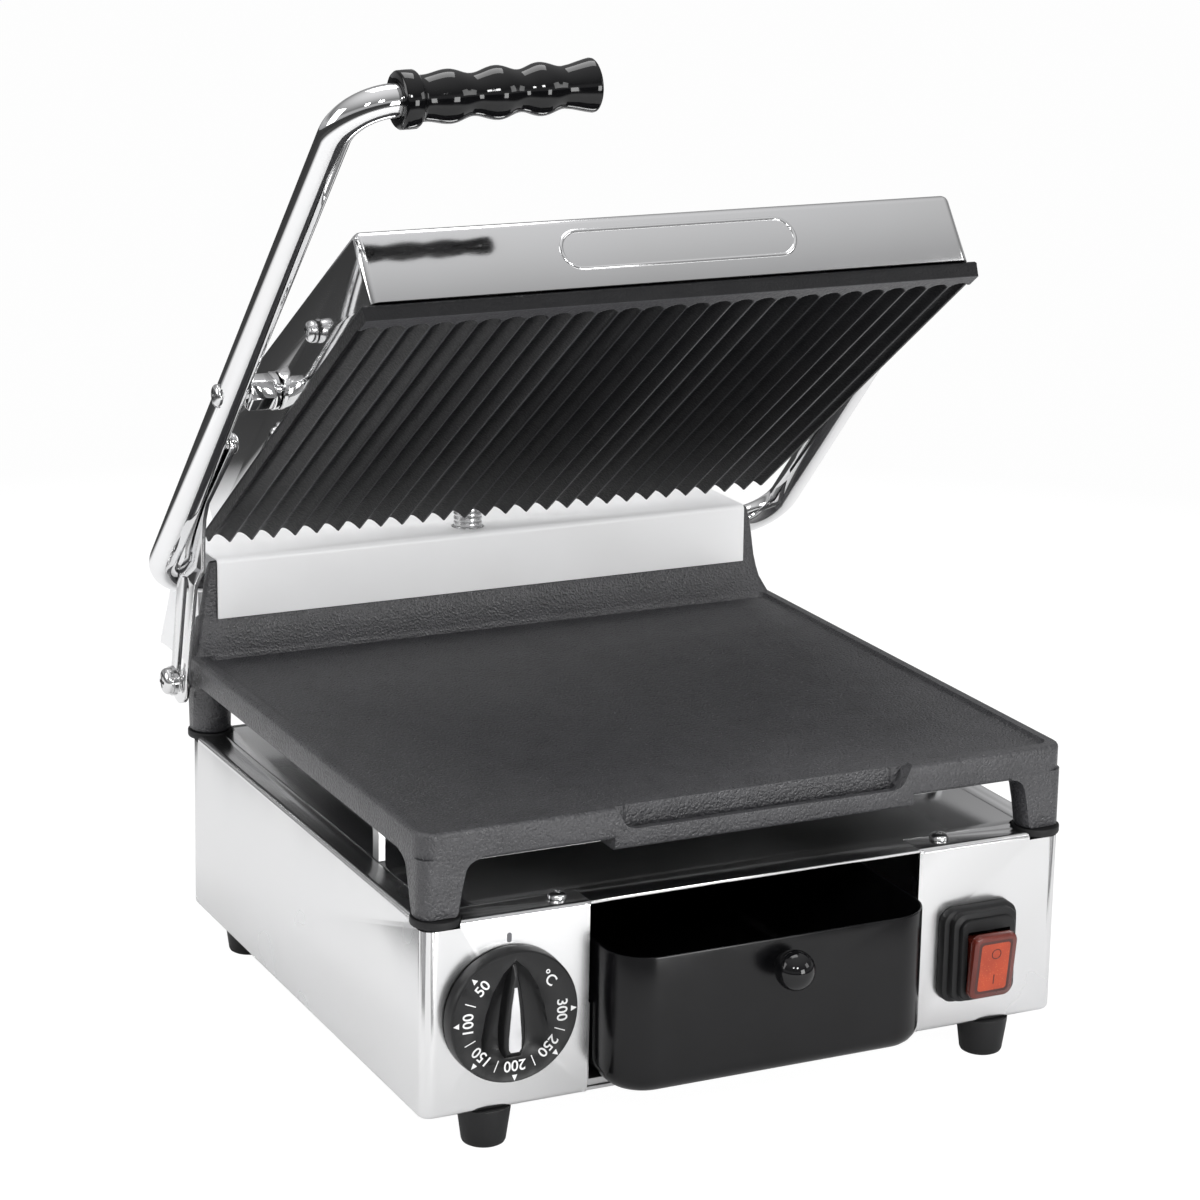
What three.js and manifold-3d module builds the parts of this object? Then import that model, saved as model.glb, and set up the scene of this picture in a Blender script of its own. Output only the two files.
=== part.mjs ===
import * as THREE from 'three';
import { mergeVertices } from 'three/addons/utils/BufferGeometryUtils.js';
import Module from 'manifold-3d';

const wasm = await Module();
wasm.setup();

// ---- driving dimensions, in mm; X is the width, -Y the front, +Z up, Z 0 the table ----
const W = 330, D = 300;                 // base box plan
const FOOT_H = 18, BASE_H = 92;         // feet, base box
const BOX_Z0 = FOOT_H, BOX_Z1 = FOOT_H + BASE_H;
const SHEET = 1.5;                      // base sheet thickness
const BEND = 6;                         // base corner radius
const OPEN_X0 = -84, OPEN_X1 = 87;      // tray bay in the front
const CAST_X = 166, CAST_Y0 = -148.5, CAST_Y1 = 158;   // lower casting plan
const CAST_Z0 = 136.5, CAST_Z1 = 151.3, CAST_FLOOR = 149;
const UP_Y = 141;                       // foot of the rear upstand
const LEG_X = 155.7, LEG_YF = -141.4, LEG_YR = 147;
const HINGE_Y = 167.5, HINGE_Z = 184.9; // crossbar axis
const TUBE_R = 7.5, ARM_X = 177.6;      // bent tube
const ARM_DEG = 47.12;                  // arms above horizontal, opened
const ARM_LEN = 379, PIVOT_S = 165.5, LINK_S = 123;    // along the arm from the crossbar
const BEND_TOP = 22, BEND_LOW = 24;
const LID_DEG = 36.5;                   // upper plate above horizontal, opened
const HOOD_X = 154.5, PLATE_X = 159;
const LID_Y0 = -132.5, LID_Y1 = 126.5;  // measured from the hood pivot, lid level
const RIB_Z = -26.5, PLATE_TOP = -18.8, HOOD_BOT = -18.5;
const RIBS = 27, RIB_PITCH = 11.74, RIB_W = 10, RIB_DEPTH = 4.8;
const TRAY_X = 81, TRAY_Y0 = -178, TRAY_Y1 = 100, TRAY_Z0 = 23.5, TRAY_Z1 = 90, BALL_Z = 78;
const KNOB_X = -124, KNOB_Z = 64.2, KNOB_FACE = -158.3;
const SW_X = 119.2, SW_Z = 55.8;
const FEET = [['fl', -131, -141], ['fr', 131, -141], ['rl', -146, 118], ['rr', 146, 118]];
const PIN_Y = 147, PIN_Z = 138.5;       // guide screw of the slotted link
const HOSE_X = -6, HOSE_Y = 163, HOSE_R = 7.6;
const N = 24;                           // segments of a round piece

const rad = (d) => d * Math.PI / 180;
const armPoint = (s) => [
  HINGE_Y - s * Math.cos(rad(ARM_DEG)), HINGE_Z + s * Math.sin(rad(ARM_DEG))];
const [PIV_Y, PIV_Z] = armPoint(PIVOT_S);

// ---- solids ----
function toSolid(geometry) {
  let g = geometry.clone();
  for (const a of ['normal', 'uv', 'uv1']) g.deleteAttribute(a);
  g = mergeVertices(g, 1e-4);
  const solid = new wasm.Manifold(new wasm.Mesh({
    numProp: 3,
    vertProperties: new Float32Array(g.attributes.position.array),
    triVerts: new Uint32Array(g.index.array),
  }));
  return solid;
}
function toGeometry(solid) {
  const m = solid.getMesh();
  const g = new THREE.BufferGeometry();
  g.setAttribute('position', new THREE.BufferAttribute(new Float32Array(m.vertProperties), 3));
  g.setIndex(new THREE.BufferAttribute(new Uint32Array(m.triVerts), 1));
  return g;
}
const add = (...s) => s.reduce((a, b) => a.add(b));
const cut = (a, ...s) => s.reduce((x, b) => x.subtract(b), a);

function box(x0, x1, y0, y1, z0, z1) {
  const g = new THREE.BoxGeometry(x1 - x0, y1 - y0, z1 - z0);
  g.translate((x0 + x1) / 2, (y0 + y1) / 2, (z0 + z1) / 2);
  return toSolid(g);
}
function cyl(axis, c, r0, r1, a, b, n = N) {   // r0 at a, r1 at b, along axis
  const g = new THREE.CylinderGeometry(r1, r0, b - a, n);   // along +Y, r1 at the top
  g.translate(0, (a + b) / 2, 0);
  if (axis === 'x') g.rotateZ(-Math.PI / 2);
  if (axis === 'z') g.rotateX(Math.PI / 2);
  g.translate(...c);
  return toSolid(g);
}
function lathe(axis, c, points, n = N) {      // [radius, along axis]
  const g = new THREE.LatheGeometry(points.map((p) => new THREE.Vector2(p[0], p[1])), n);
  if (axis === 'x') g.rotateZ(-Math.PI / 2);
  if (axis === 'z') g.rotateX(Math.PI / 2);
  g.translate(...c);
  return fix(g);
}
function fix(g) {                             // outward whichever way a profile runs
  let s = toSolid(g);
  if (s.volume() < 0) {
    const f = g.index ? g.toNonIndexed() : g.clone();
    const p = f.attributes.position.array;
    for (let i = 0; i < p.length; i += 9) {
      for (let k = 0; k < 3; k++) [p[i + 3 + k], p[i + 6 + k]] = [p[i + 6 + k], p[i + 3 + k]];
    }
    s = toSolid(f);
  }
  return s;
}
function prism(axis, poly, a, b) {            // polygon extruded along an axis
  const shape = new THREE.Shape(poly.map((p) => new THREE.Vector2(p[0], p[1])));
  const g = new THREE.ExtrudeGeometry(shape, { depth: b - a, bevelEnabled: false, curveSegments: 6 });
  const m = new THREE.Matrix4();
  if (axis === 'z') m.set(1, 0, 0, 0, 0, 1, 0, 0, 0, 0, 1, a, 0, 0, 0, 1);
  if (axis === 'x') m.set(0, 0, 1, a, 1, 0, 0, 0, 0, 1, 0, 0, 0, 0, 0, 1);   // poly is (y, z)
  if (axis === 'y') m.set(1, 0, 0, 0, 0, 0, -1, b, 0, 1, 0, 0, 0, 0, 0, 1);  // poly is (x, z)
  g.applyMatrix4(m);
  return fix(g);
}
function roundRect(x0, x1, y0, y1, r, seg = 4) {
  const pts = [];
  const corner = (cx, cy, a0) => {
    for (let i = 0; i <= seg; i++) {
      const a = a0 + (Math.PI / 2) * (i / seg);
      pts.push([cx + r * Math.cos(a), cy + r * Math.sin(a)]);
    }
  };
  corner(x1 - r, y0 + r, -Math.PI / 2);
  corner(x1 - r, y1 - r, 0);
  corner(x0 + r, y1 - r, Math.PI / 2);
  corner(x0 + r, y0 + r, Math.PI);
  return pts;
}
function ellipse(cx, cy, rx, ry, n = N) {
  const pts = [];
  for (let i = 0; i < n; i++) {
    const a = 2 * Math.PI * i / n;
    pts.push([cx + rx * Math.cos(a), cy + ry * Math.sin(a)]);
  }
  return pts;
}
function loft(rings) {                        // closed solid through equal rings of [x, y, z]
  const n = rings[0].length, pos = [], idx = [];
  for (const ring of rings) for (const p of ring) pos.push(...p);
  for (let k = 0; k + 1 < rings.length; k++) {
    for (let i = 0; i < n; i++) {
      const a = k * n + i, b = k * n + (i + 1) % n, c = a + n, d = b + n;
      idx.push(a, b, d, a, d, c);
    }
  }
  for (const [k, flip] of [[0, true], [rings.length - 1, false]]) {
    const c = rings[k].reduce((s, p) => [s[0] + p[0] / n, s[1] + p[1] / n, s[2] + p[2] / n], [0, 0, 0]);
    const ci = pos.length / 3;
    pos.push(...c);
    for (let i = 0; i < n; i++) {
      const a = k * n + i, b = k * n + (i + 1) % n;
      if (flip) idx.push(ci, b, a); else idx.push(ci, a, b);
    }
  }
  const g = new THREE.BufferGeometry();
  g.setAttribute('position', new THREE.Float32BufferAttribute(pos, 3));
  g.setIndex(idx);
  return fix(g);
}
const ringZ = (poly, z) => poly.map(([x, y]) => [x, y, typeof z === 'function' ? z(x, y) : z]);
const ringY = (poly, y) => poly.map(([x, z]) => [x, y, z]);

class Run extends THREE.Curve {               // straight runs joined by round bends
  constructor(points, radii, step = 15) {
    super();
    const v = points.map((p) => new THREE.Vector3(...p));
    this.pts = [v[0]];
    for (let i = 1; i + 1 < v.length; i++) {
      const d0 = v[i - 1].clone().sub(v[i]).normalize(), d1 = v[i + 1].clone().sub(v[i]).normalize();
      const half = d0.angleTo(d1) / 2, r = radii[i - 1], t = r / Math.tan(half);
      const mid = d0.clone().add(d1).normalize();
      const centre = v[i].clone().addScaledVector(mid, r / Math.sin(half));
      const a = v[i].clone().addScaledVector(d0, t).sub(centre);
      const b = v[i].clone().addScaledVector(d1, t).sub(centre);
      const turn = a.angleTo(b), steps = Math.max(2, Math.round(turn / rad(step)));
      for (let k = 0; k <= steps; k++) {
        const u = k / steps, s = Math.sin(turn);
        this.pts.push(centre.clone().addScaledVector(a, Math.sin((1 - u) * turn) / s)
          .addScaledVector(b, Math.sin(u * turn) / s));
      }
    }
    this.pts.push(v[v.length - 1]);
  }
}
function tube(points, radii, r, n = 14, step = 15) {   // round bar swept along a bent run
  const pts = new Run(points, radii, step).pts;
  let up = new THREE.Vector3(0.13, 0.31, 0.94).normalize();
  const rings = pts.map((p, i) => {
    const a = pts[Math.max(0, i - 1)], b = pts[Math.min(pts.length - 1, i + 1)];
    const t = b.clone().sub(a).normalize();
    const side = new THREE.Vector3().crossVectors(t, up).normalize();
    up = new THREE.Vector3().crossVectors(side, t).normalize();
    const ring = [];
    for (let k = 0; k < n; k++) {
      const w = 2 * Math.PI * k / n;
      const q = p.clone().addScaledVector(side, r * Math.cos(w)).addScaledVector(up, r * Math.sin(w));
      ring.push([q.x, q.y, q.z]);
    }
    return ring;
  });
  return loft(rings);
}

const group = new THREE.Group();
group.position.y = -19.75;                   // origin under the middle of the whole object
function piece(name, solid, colour) {
  const mesh = new THREE.Mesh(toGeometry(solid), new THREE.MeshStandardMaterial({ color: colour }));
  mesh.name = name;
  group.add(mesh);
}
const STEEL = 0xd8dadd, CAST = 0x3a3a3c, BLACK = 0x141414, RUBBER = 0x1c1c1c, RED = 0xc23a22;
const ZINC = 0xb8bcc0;

// ---- base box: one wrapped sheet each side, flanged inwards all round ----
const legCups = (r, z0, z1) => [-1, 1].flatMap((sx) => [LEG_YF, LEG_YR].map(
  (y) => cyl('z', [sx * LEG_X, y, 0], r, r, z0, z1)));
const CUP_R = 11.6, CUP_Z = BOX_Z1 - 2.5;
let shell = cut(
  prism('z', roundRect(-W / 2, W / 2, -D / 2, D / 2, BEND), BOX_Z0, BOX_Z1),
  prism('z', roundRect(-W / 2 + SHEET, W / 2 - SHEET, -D / 2 + SHEET, D / 2 - SHEET, BEND - SHEET),
    BOX_Z0 - 1, BOX_Z1 - SHEET),
  box(-152, 152, -135, 146, BOX_Z1 - 5, BOX_Z1 + 1),
  box(OPEN_X0, OPEN_X1, -D / 2 - 1, -120, BOX_Z0 - 1, BOX_Z1 + 1),
  box(-150, 150, 130, D / 2 + 1, BOX_Z0 - 1, BOX_Z1 + 1),
  ...legCups(CUP_R + 0.4, CUP_Z - 1, BOX_Z1 + 1),
  cyl('y', [KNOB_X, 0, KNOB_Z], 5, 5, -155, -145, 16),
  box(SW_X - 15, SW_X + 15, -155, -145, SW_Z - 19, SW_Z + 19),
);
piece('shell_left', cut(shell, box(0, 200, -200, 200, 0, 200)), STEEL);
piece('shell_right', cut(shell, box(-200, 0, -200, 200, 0, 200)), STEEL);
piece('top_sheet', cut(
  add(box(-151.7, 151.7, -134.7, 145.7, BOX_Z1 - SHEET, BOX_Z1),
    box(OPEN_X0 + 0.3, OPEN_X1 - 0.3, -D / 2, -134, BOX_Z1 - SHEET, BOX_Z1)),
  ...legCups(CUP_R + 0.4, CUP_Z - 1, BOX_Z1 + 1),
  cyl('z', [0, 128, 0], 9, 9, BOX_Z1 - 5, BOX_Z1 + 1, 16)), STEEL);
piece('floor_plate', cut(
  prism('z', roundRect(-W / 2 + 1.8, W / 2 - 1.8, -D / 2 + 1.8, D / 2 - 1.8, BEND - 1), 18.3, 19.8),
  ...[-120, -104, 104, 120].map((x) => box(x - 3, x + 3, -30, 30, 17, 21)),
  ...FEET.map(([, x, y]) => cyl('z', [x, y, 0], 3.3, 3.3, 17, 21, 12))), ZINC);
piece('rear_panel', cut(
  box(-149.7, 149.7, D / 2 - SHEET, D / 2, 20.1, BOX_Z1 - 0.3),
  ...legCups(CUP_R + 0.4, CUP_Z - 1, BOX_Z1 + 1),
  cyl('y', [110, 0, 45], 8.3, 8.3, 140, 155, 16),
  ...[-60, -45, -30, -15, 0, 15, 30].map((x) => box(x - 2, x + 2, 140, 155, 50, 80))), STEEL);

// ---- feet, leg cups, top screws ----
for (const [name, x, y] of FEET) {
  piece(`foot_${name}`, lathe('z', [x, y, 0], [
    [0, 0], [9.5, 0], [10.5, 1], [12.2, 17], [12.2, 18], [2.9, 18], [2.9, 21.5], [5.5, 21.7], [5, 23.3], [0, 23.3],
  ]), RUBBER);
}
for (const [name, sx, y] of [['fl', -1, LEG_YF], ['fr', 1, LEG_YF], ['rl', -1, LEG_YR], ['rr', 1, LEG_YR]]) {
  piece(`leg_cup_${name}`, lathe('z', [sx * LEG_X, y, 0], [
    [0, CUP_Z], [CUP_R, CUP_Z], [CUP_R, BOX_Z1 + 1.6], [CUP_R - 0.5, BOX_Z1 + 2.1], [10.9, BOX_Z1 + 2.1],
    [10.9, BOX_Z1 + 1], [0, BOX_Z1 + 1],
  ]), RUBBER);
}
for (const [name, x, y] of [['top_screw_left', -96, -140], ['top_screw_right', 103, -140]]) {
  piece(name, lathe('z', [x, y, 0], [
    [0, BOX_Z1 + 0.3], [4.6, BOX_Z1 + 0.3], [4.2, BOX_Z1 + 1.6], [2.6, BOX_Z1 + 2.6], [0, BOX_Z1 + 3],
  ], 16), ZINC);
}

// ---- thermostat: body behind the left panel, knob with a finger bar between two scooped hollows ----
piece('thermostat_body', add(
  box(KNOB_X - 17, KNOB_X + 17, -142, -112, KNOB_Z - 16, KNOB_Z + 16),
  cyl('y', [KNOB_X, 0, KNOB_Z], 4.6, 4.6, -148.2, -140, 16),
  cyl('y', [KNOB_X, 0, KNOB_Z], 3, 3, -156.2, -147, 12)), ZINC);
const knobRing = (outline, k, y) => ringY(outline.map(([x, z]) => [KNOB_X + x * k, KNOB_Z + z * k]), y);
const recess = [[0, 27], [6, 21], [11, 13], [14.2, 3], [16.4, -8], [16, -16], [12, -21], [6, -22.6]];
const recessOutline = [...recess, [0, -23], ...recess.slice(1).reverse().map(([x, z]) => [-x, z])];
const bar = [[0.8, 27], [3, 18], [5, 6], [6.2, -6], [6, -16], [4, -21.5]];
const barOutline = [...bar, ...bar.slice().reverse().map(([x, z]) => [-x, z])];
const inlay = [[0.7, 14], [2, 4], [3.1, -10], [3, -15], [2, -16.5]];
const inlayOutline = [...inlay, ...inlay.slice().reverse().map(([x, z]) => [-x, z])];
piece('thermostat_knob', cut(
  add(
    cut(
      lathe('y', [KNOB_X, 0, KNOB_Z], [
        [0, -150.6], [31.4, -150.6], [31.4, -151.6], [31, KNOB_FACE + 0.8], [30.2, KNOB_FACE], [0, KNOB_FACE]], 40),
      loft([knobRing(recessOutline, 0.82, KNOB_FACE + 4.6), knobRing(recessOutline, 1.02, KNOB_FACE - 0.5)])),
    loft([knobRing(barOutline, 0.98, KNOB_FACE + 5), knobRing(barOutline, 0.72, KNOB_FACE - 0.3)])),
  cyl('y', [KNOB_X, 0, KNOB_Z], 28, 28, KNOB_FACE + 6.2, -150, 32),
  cyl('y', [KNOB_X, 0, KNOB_Z], 3.2, 3.2, -156.5, -150, 12),
  prism('y', inlayOutline.map(([x, z]) => [KNOB_X + x * 1.08, KNOB_Z + z * 1.02]),
    KNOB_FACE - 2, KNOB_FACE + 0.6)), BLACK);
piece('knob_pointer', prism('y', inlayOutline.map(([x, z]) => [KNOB_X + x, KNOB_Z + z]),
  KNOB_FACE - 0.6, KNOB_FACE + 0.5), 0xe8e8e8);

// ---- switch: stepped rubber boot, lit rocker, body behind the panel ----
const bootRing = (w, h, r, y, dz) => ringY(
  roundRect(SW_X - w / 2, SW_X + w / 2, SW_Z + dz - h / 2, SW_Z + dz + h / 2, r, 3), y);
piece('switch_boot', cut(
  loft([bootRing(40.5, 46.5, 7, -150.3, 0), bootRing(40.5, 46.5, 7, -154.4, 0), bootRing(35, 44, 6, -155.4, 0.2),
    bootRing(34, 44, 6, -158.6, 0.2), bootRing(29.5, 40, 5, -159.8, -0.3), bootRing(29, 39.5, 5, -162.2, -0.3)]),
  box(SW_X - 11.5, SW_X + 11.5, -170, -149, SW_Z - 16, SW_Z + 14)), RUBBER);
const ROCKER_Y = -158.5, ROCKER_Z = 54.8, ROCKER_TILT = 7;     // rocker axis, and its lean when on
const rockerRing = (w, h, y) => ringY(roundRect(-w / 2, w / 2, -h / 2, h / 2, 4, 3), y);
piece('switch_rocker', add(
  loft([rockerRing(23.5, 32.6, -6.4), rockerRing(23.5, 32.6, -9), rockerRing(21.6, 30.7, -9.9)]),
  box(-9, 9, -7, 5, -10, 10)).rotate([ROCKER_TILT, 0, 0]).translate([SW_X - 0.4, ROCKER_Y, ROCKER_Z]), RED);
piece('switch_body', box(SW_X - 14, SW_X + 14, -150, -122, SW_Z - 18, SW_Z + 18), BLACK);

// ---- drip tray on its runners ----
const trayRing = (inset, z) => ringZ(
  roundRect(-TRAY_X + inset, TRAY_X - inset, TRAY_Y0 + inset, TRAY_Y1 - inset, Math.max(20 - inset, 8), 5), z);
piece('drip_tray', cut(loft([
  trayRing(9, TRAY_Z0), trayRing(3.6, TRAY_Z0 + 1.8), trayRing(0.6, TRAY_Z0 + 6.5), trayRing(0, TRAY_Z0 + 11),
  trayRing(0, TRAY_Z1), trayRing(1.4, TRAY_Z1), trayRing(1.4, TRAY_Z0 + 11), trayRing(2, TRAY_Z0 + 7),
  trayRing(5, TRAY_Z0 + 3), trayRing(9.5, TRAY_Z0 + 1.4)]),
  cyl('y', [0, 0, BALL_Z], 2.4, 2.4, -180, -170, 10)), BLACK);
piece('tray_knob', add(
  lathe('y', [0, 0, BALL_Z], [[0, -198], [4, -197.2], [7.2, -194.6], [9, -191.2], [9.3, -188.5], [8.8, -185.5],
    [7, -182.4], [5, -180.2], [5, -178.3], [0, -178.3]], 20),
  cyl('y', [0, 0, BALL_Z], 2.1, 2.1, -179, -174, 10),
  cyl('y', [0, 0, BALL_Z], 4.5, 4.5, -176.3, -173.5, 10)), BLACK);
for (const [name, s] of [['left', -1], ['right', 1]]) {
  piece(`tray_runner_${name}`, (s < 0 ? (q) => q : (q) => q.mirror([1, 0, 0]))(prism('y', [
    [-83.2, 20.1], [-60, 20.1], [-60, 23.2], [-81.9, 23.2], [-81.9, 60], [-83.2, 60]], -147, 104)), ZINC);
}
piece('tray_stop', box(-40, 40, 101, 103, 20.1, 60), ZINC);

// ---- lower casting: plate, rim, grease trough, legs and rear upstand in one ----
const castRing = (x, y0, y1, r, z) => ringZ(roundRect(-x, x, y0, y1, r, 3), z);
const upRing = (x, y0, y1, z) => ringZ(roundRect(-x, x, y0, y1, 2, 2), z);
piece('lower_plate', cut(
  add(
    loft([
      castRing(CAST_X - 1.5, CAST_Y0 + 1.5, CAST_Y1, 6, CAST_Z0),
      castRing(CAST_X, CAST_Y0, CAST_Y1, 6, CAST_Z0 + 1.5),
      castRing(CAST_X, CAST_Y0, CAST_Y1, 6, CAST_Z1 - 1),
      castRing(CAST_X - 1, CAST_Y0 + 1, CAST_Y1, 6, CAST_Z1)]),
    loft([upRing(164.5, 136, CAST_Y1, CAST_Z0 + 4), upRing(163.5, UP_Y, CAST_Y1, CAST_Z1),
      upRing(160, 149.2, CAST_Y1, 167.5), upRing(159.5, 149.2, 153.8, 171), upRing(154.8, 149.2, 153.8, 197.4)]),
    prism('x', [[CAST_Y0, 145], [-130, 145], [-130, 131.4], [CAST_Y0 + 1.6, 131], [CAST_Y0 + 0.4, 132]], -71.5, 82),
    ...[-1, 1].flatMap((sx) => [LEG_YF, LEG_YR].map(
      (y) => cyl('z', [sx * LEG_X, y, 0], 10.5, y < 0 ? 13.5 : 11, 111.4, CAST_Z0 + 2)))),
  box(-160, 160, -142.5, UP_Y - 4, CAST_FLOOR, 160),
  prism('y', [
    [-70.6, 160], [-69.4, 149.6], [-66.3, 144], [-63.8, 141.4], [-60.6, 140.5], [74, 140.5], [76, 141.8],
    [77.4, 144.5], [78.4, 149.6], [79.6, 160],
  ], -155, -140.6),
  box(-64, 75, -145, -139.6, 134, 160),
  cyl('z', [5, -142.4, 0], 2.2, 2.2, 128, 136, 12),
  cyl('x', [0, PIN_Y, PIN_Z], 3.6, 3.6, -170, -148, 16)), CAST);

// ---- heating under the casting ----
piece('lower_element', tube([
  [-60, 120, 128], [-60, 95, 131.7], [-100, 95, 131.7], [-100, -100, 131.7], [-50, -100, 131.7], [-50, 70, 131.7],
  [0, 70, 131.7], [0, -100, 131.7], [50, -100, 131.7], [50, 70, 131.7], [100, 70, 131.7], [100, 112, 131.7],
  [60, 112, 131.7], [60, 128, 128]], [6, 12, 18, 18, 18, 18, 18, 18, 18, 18, 14, 14, 6], 3.4, 8, 30), 0x6a5a50);
piece('heat_shield', cut(add(
  box(-128, 128, -116, 106, 124, 125.5),
  ...[[-112, 96], [112, 96]].map(([x, y]) => cyl('z', [x, y, 0], 5, 5, 110.4, 124.5, 12)),
  ...[-1, 1].map((sx) => box(sx * 136.5 - 15.5, sx * 136.5 + 15.5, -67.5, -60.5, 124, 125.5)),
  ...[-1, 1].map((sx) => box(sx * 150.2 - 1.6, sx * 150.2 + 1.6, -67.5, -60.5, 110.4, 125)),
  ...[[-75, -60], [75, -60], [-75, 40], [75, 40]].map(
    ([x, y]) => cyl('z', [x, y, 0], 5, 5, 125, 136.2, 12))),
box(-66, -54, 90, 110, 120, 130)), ZINC);

// ---- rear: bearing blocks, springs, cover ----
for (const [name, s] of [['left', -1], ['right', 1]]) {
  piece(`hinge_block_${name}`, cut(
    box(s * 125 - 9, s * 125 + 9, 158.4, 181, 168, 196.5),
    cyl('x', [0, HINGE_Y, HINGE_Z], 7.9, 7.9, s * 125 - 12, s * 125 + 12)), ZINC);
  const coil = [];
  for (let i = 0; i <= 72; i++) {
    const a = 2 * Math.PI * i / 12, x = s * (100 - i * 0.52);
    coil.push([x, HINGE_Y + 10.6 * Math.cos(a), HINGE_Z + 10.6 * Math.sin(a)]);
  }
  piece(`hinge_spring_${name}`, (() => {
    const rings = coil.map(([x, y, z], i) => {
      const a = 2 * Math.PI * i / 12, out = [0, Math.cos(a), Math.sin(a)];
      return [0, 1, 2, 3, 4].map((k) => {
        const w = 2 * Math.PI * k / 5;
        return [x + 1.3 * Math.cos(w), y + out[1] * 1.3 * Math.sin(w), z + out[2] * 1.3 * Math.sin(w)];
      });
    });
    return loft(rings);
  })(), ZINC);
}
const coverT = 1.2;
piece('rear_cover', cut(add(
  prism('x', [[147, 168], [147.6, 197.8], [149.2, 199.3], [202, 199.3], [204, 198.2], [237.5, 131.5], [236.2, 131],
    [202.6, 197.2], [201.6, 198.1], [149.4, 198.1], [148.8, 197.4], [148.2, 168]], -151, 151),
  ...[-1, 1].map((s) => prism('x', [[177, 198.6], [202, 198.6], [236.8, 131.5], [177, 131.5]],
    s < 0 ? -151 : 151 - coverT, s < 0 ? -151 + coverT : 151))),
cyl('z', [HOSE_X, HOSE_Y, 0], 8.6, 8.6, 190, 205, 20)), STEEL);

// ---- flexible conduit from the cover into the hood, with its lower gland ----
piece('conduit', tube(
  [[HOSE_X, HOSE_Y, 197], [HOSE_X, HOSE_Y, 225], [HOSE_X, HOSE_Y - 1.2, 247]], [30], HOSE_R, 16, 5), ZINC);
piece('conduit_gland', cut(
  lathe('z', [HOSE_X, HOSE_Y, 0], [[0, 193.2], [8.9, 193.2], [8.9, 197.8], [0, 197.8]], 20),
  cyl('z', [HOSE_X, HOSE_Y, 0], 7.9, 7.9, 195.5, 200, 20)), ZINC);

// ---- guide screw for the link, cable gland, terminal block, wiring ----
piece('guide_screw', add(
  cyl('x', [0, PIN_Y, PIN_Z], 2.5, 2.5, -179, -168, 14),
  cyl('x', [0, PIN_Y, PIN_Z], 3.2, 3.2, -168.5, -149, 14),
  cyl('x', [0, PIN_Y, PIN_Z], 6.2, 6.2, -169.9, -167, 6),
  lathe('x', [0, PIN_Y, PIN_Z], [[0, -181.6], [3.5, -181.2], [6, -179.8], [6.8, -177.6], [6.8, -176.6],
    [7.6, -176.6], [7.6, -174.6], [0, -174.6]], 16)), ZINC);
piece('cable_gland', add(
  cyl('y', [110, 0, 45], 7.9, 7.9, 140, 152, 16), cyl('y', [110, 0, 45], 12, 12, 150.3, 155, 6),
  lathe('y', [110, 0, 45], [[0, 154], [9.5, 154], [8.5, 164], [0, 164]], 16)), BLACK);
piece('terminal_block', box(92, 130, 96, 116, 20.2, 44), 0xe8e4d8);
piece('wiring_loom', tube([[118, 119, 30], [118, 128, 30], [118, 128, 100], [0, 128, 100], [0, 128, 119]],
  [6, 8, 10, 6], 3.4, 8, 30), BLACK);

// ---- arm: one bent tube with the grip on its free end ----
const armRun = (x, s) => { const [y, z] = armPoint(s); return [x, y, z]; };
const [GR_Y, GR_Z] = armPoint(ARM_LEN), GRIP_RISE = 1.75;      // the grip rises slightly towards its free end
let armTube = tube([
  [-70, GR_Y, GR_Z + (ARM_X - 70) * Math.tan(GRIP_RISE * Math.PI / 180)], armRun(-ARM_X, ARM_LEN), [-ARM_X, HINGE_Y, HINGE_Z], [ARM_X, HINGE_Y, HINGE_Z],
  armRun(ARM_X, PIVOT_S + 14)], [BEND_TOP, BEND_LOW, BEND_LOW], TUBE_R, 20, 12);
for (const s of [-1, 1]) {
  armTube = cut(armTube, cyl('x', [0, PIV_Y, PIV_Z], 3.3, 3.3, s < 0 ? -190 : 165, s < 0 ? -165 : 190, 14),
    cyl('x', [0, PIV_Y, PIV_Z], 6.2, 6.2, s < 0 ? -190 : 183.2, s < 0 ? -183.2 : 190, 20));
}
const [LK_Y, LK_Z] = armPoint(LINK_S);
armTube = armTube.subtract(cyl('x', [0, LK_Y, LK_Z], 2.8, 2.8, -175, -165, 12));
piece('arm_tube', armTube, STEEL);
const GR = 7.8;
piece('hand_grip', lathe('x', [0, GR_Y, GR_Z], [
  [GR, -154.5], [12.2, -154.5], [12.8, -153.6], [12.8, -147], [11.8, -145.6], [10.2, -143.4], [9.9, -142],
  [11.2, -136], [11.8, -129.5], [11, -124], [9.3, -119.5], [10.6, -114], [11.8, -108], [10.8, -102],
  [9.3, -98.5], [10.6, -93], [11.8, -87], [10.6, -81], [9.3, -76], [9.8, -72], [11.2, -66.5], [12.1, -62.5],
  [11.6, -61.5], [0, -61.4], [0, -66], [GR, -66], [GR, -154.5]], 28)
  .translate([ARM_X, -GR_Y, -GR_Z]).rotate([0, -GRIP_RISE, 0]).translate([-ARM_X, GR_Y, GR_Z]), BLACK);

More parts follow.
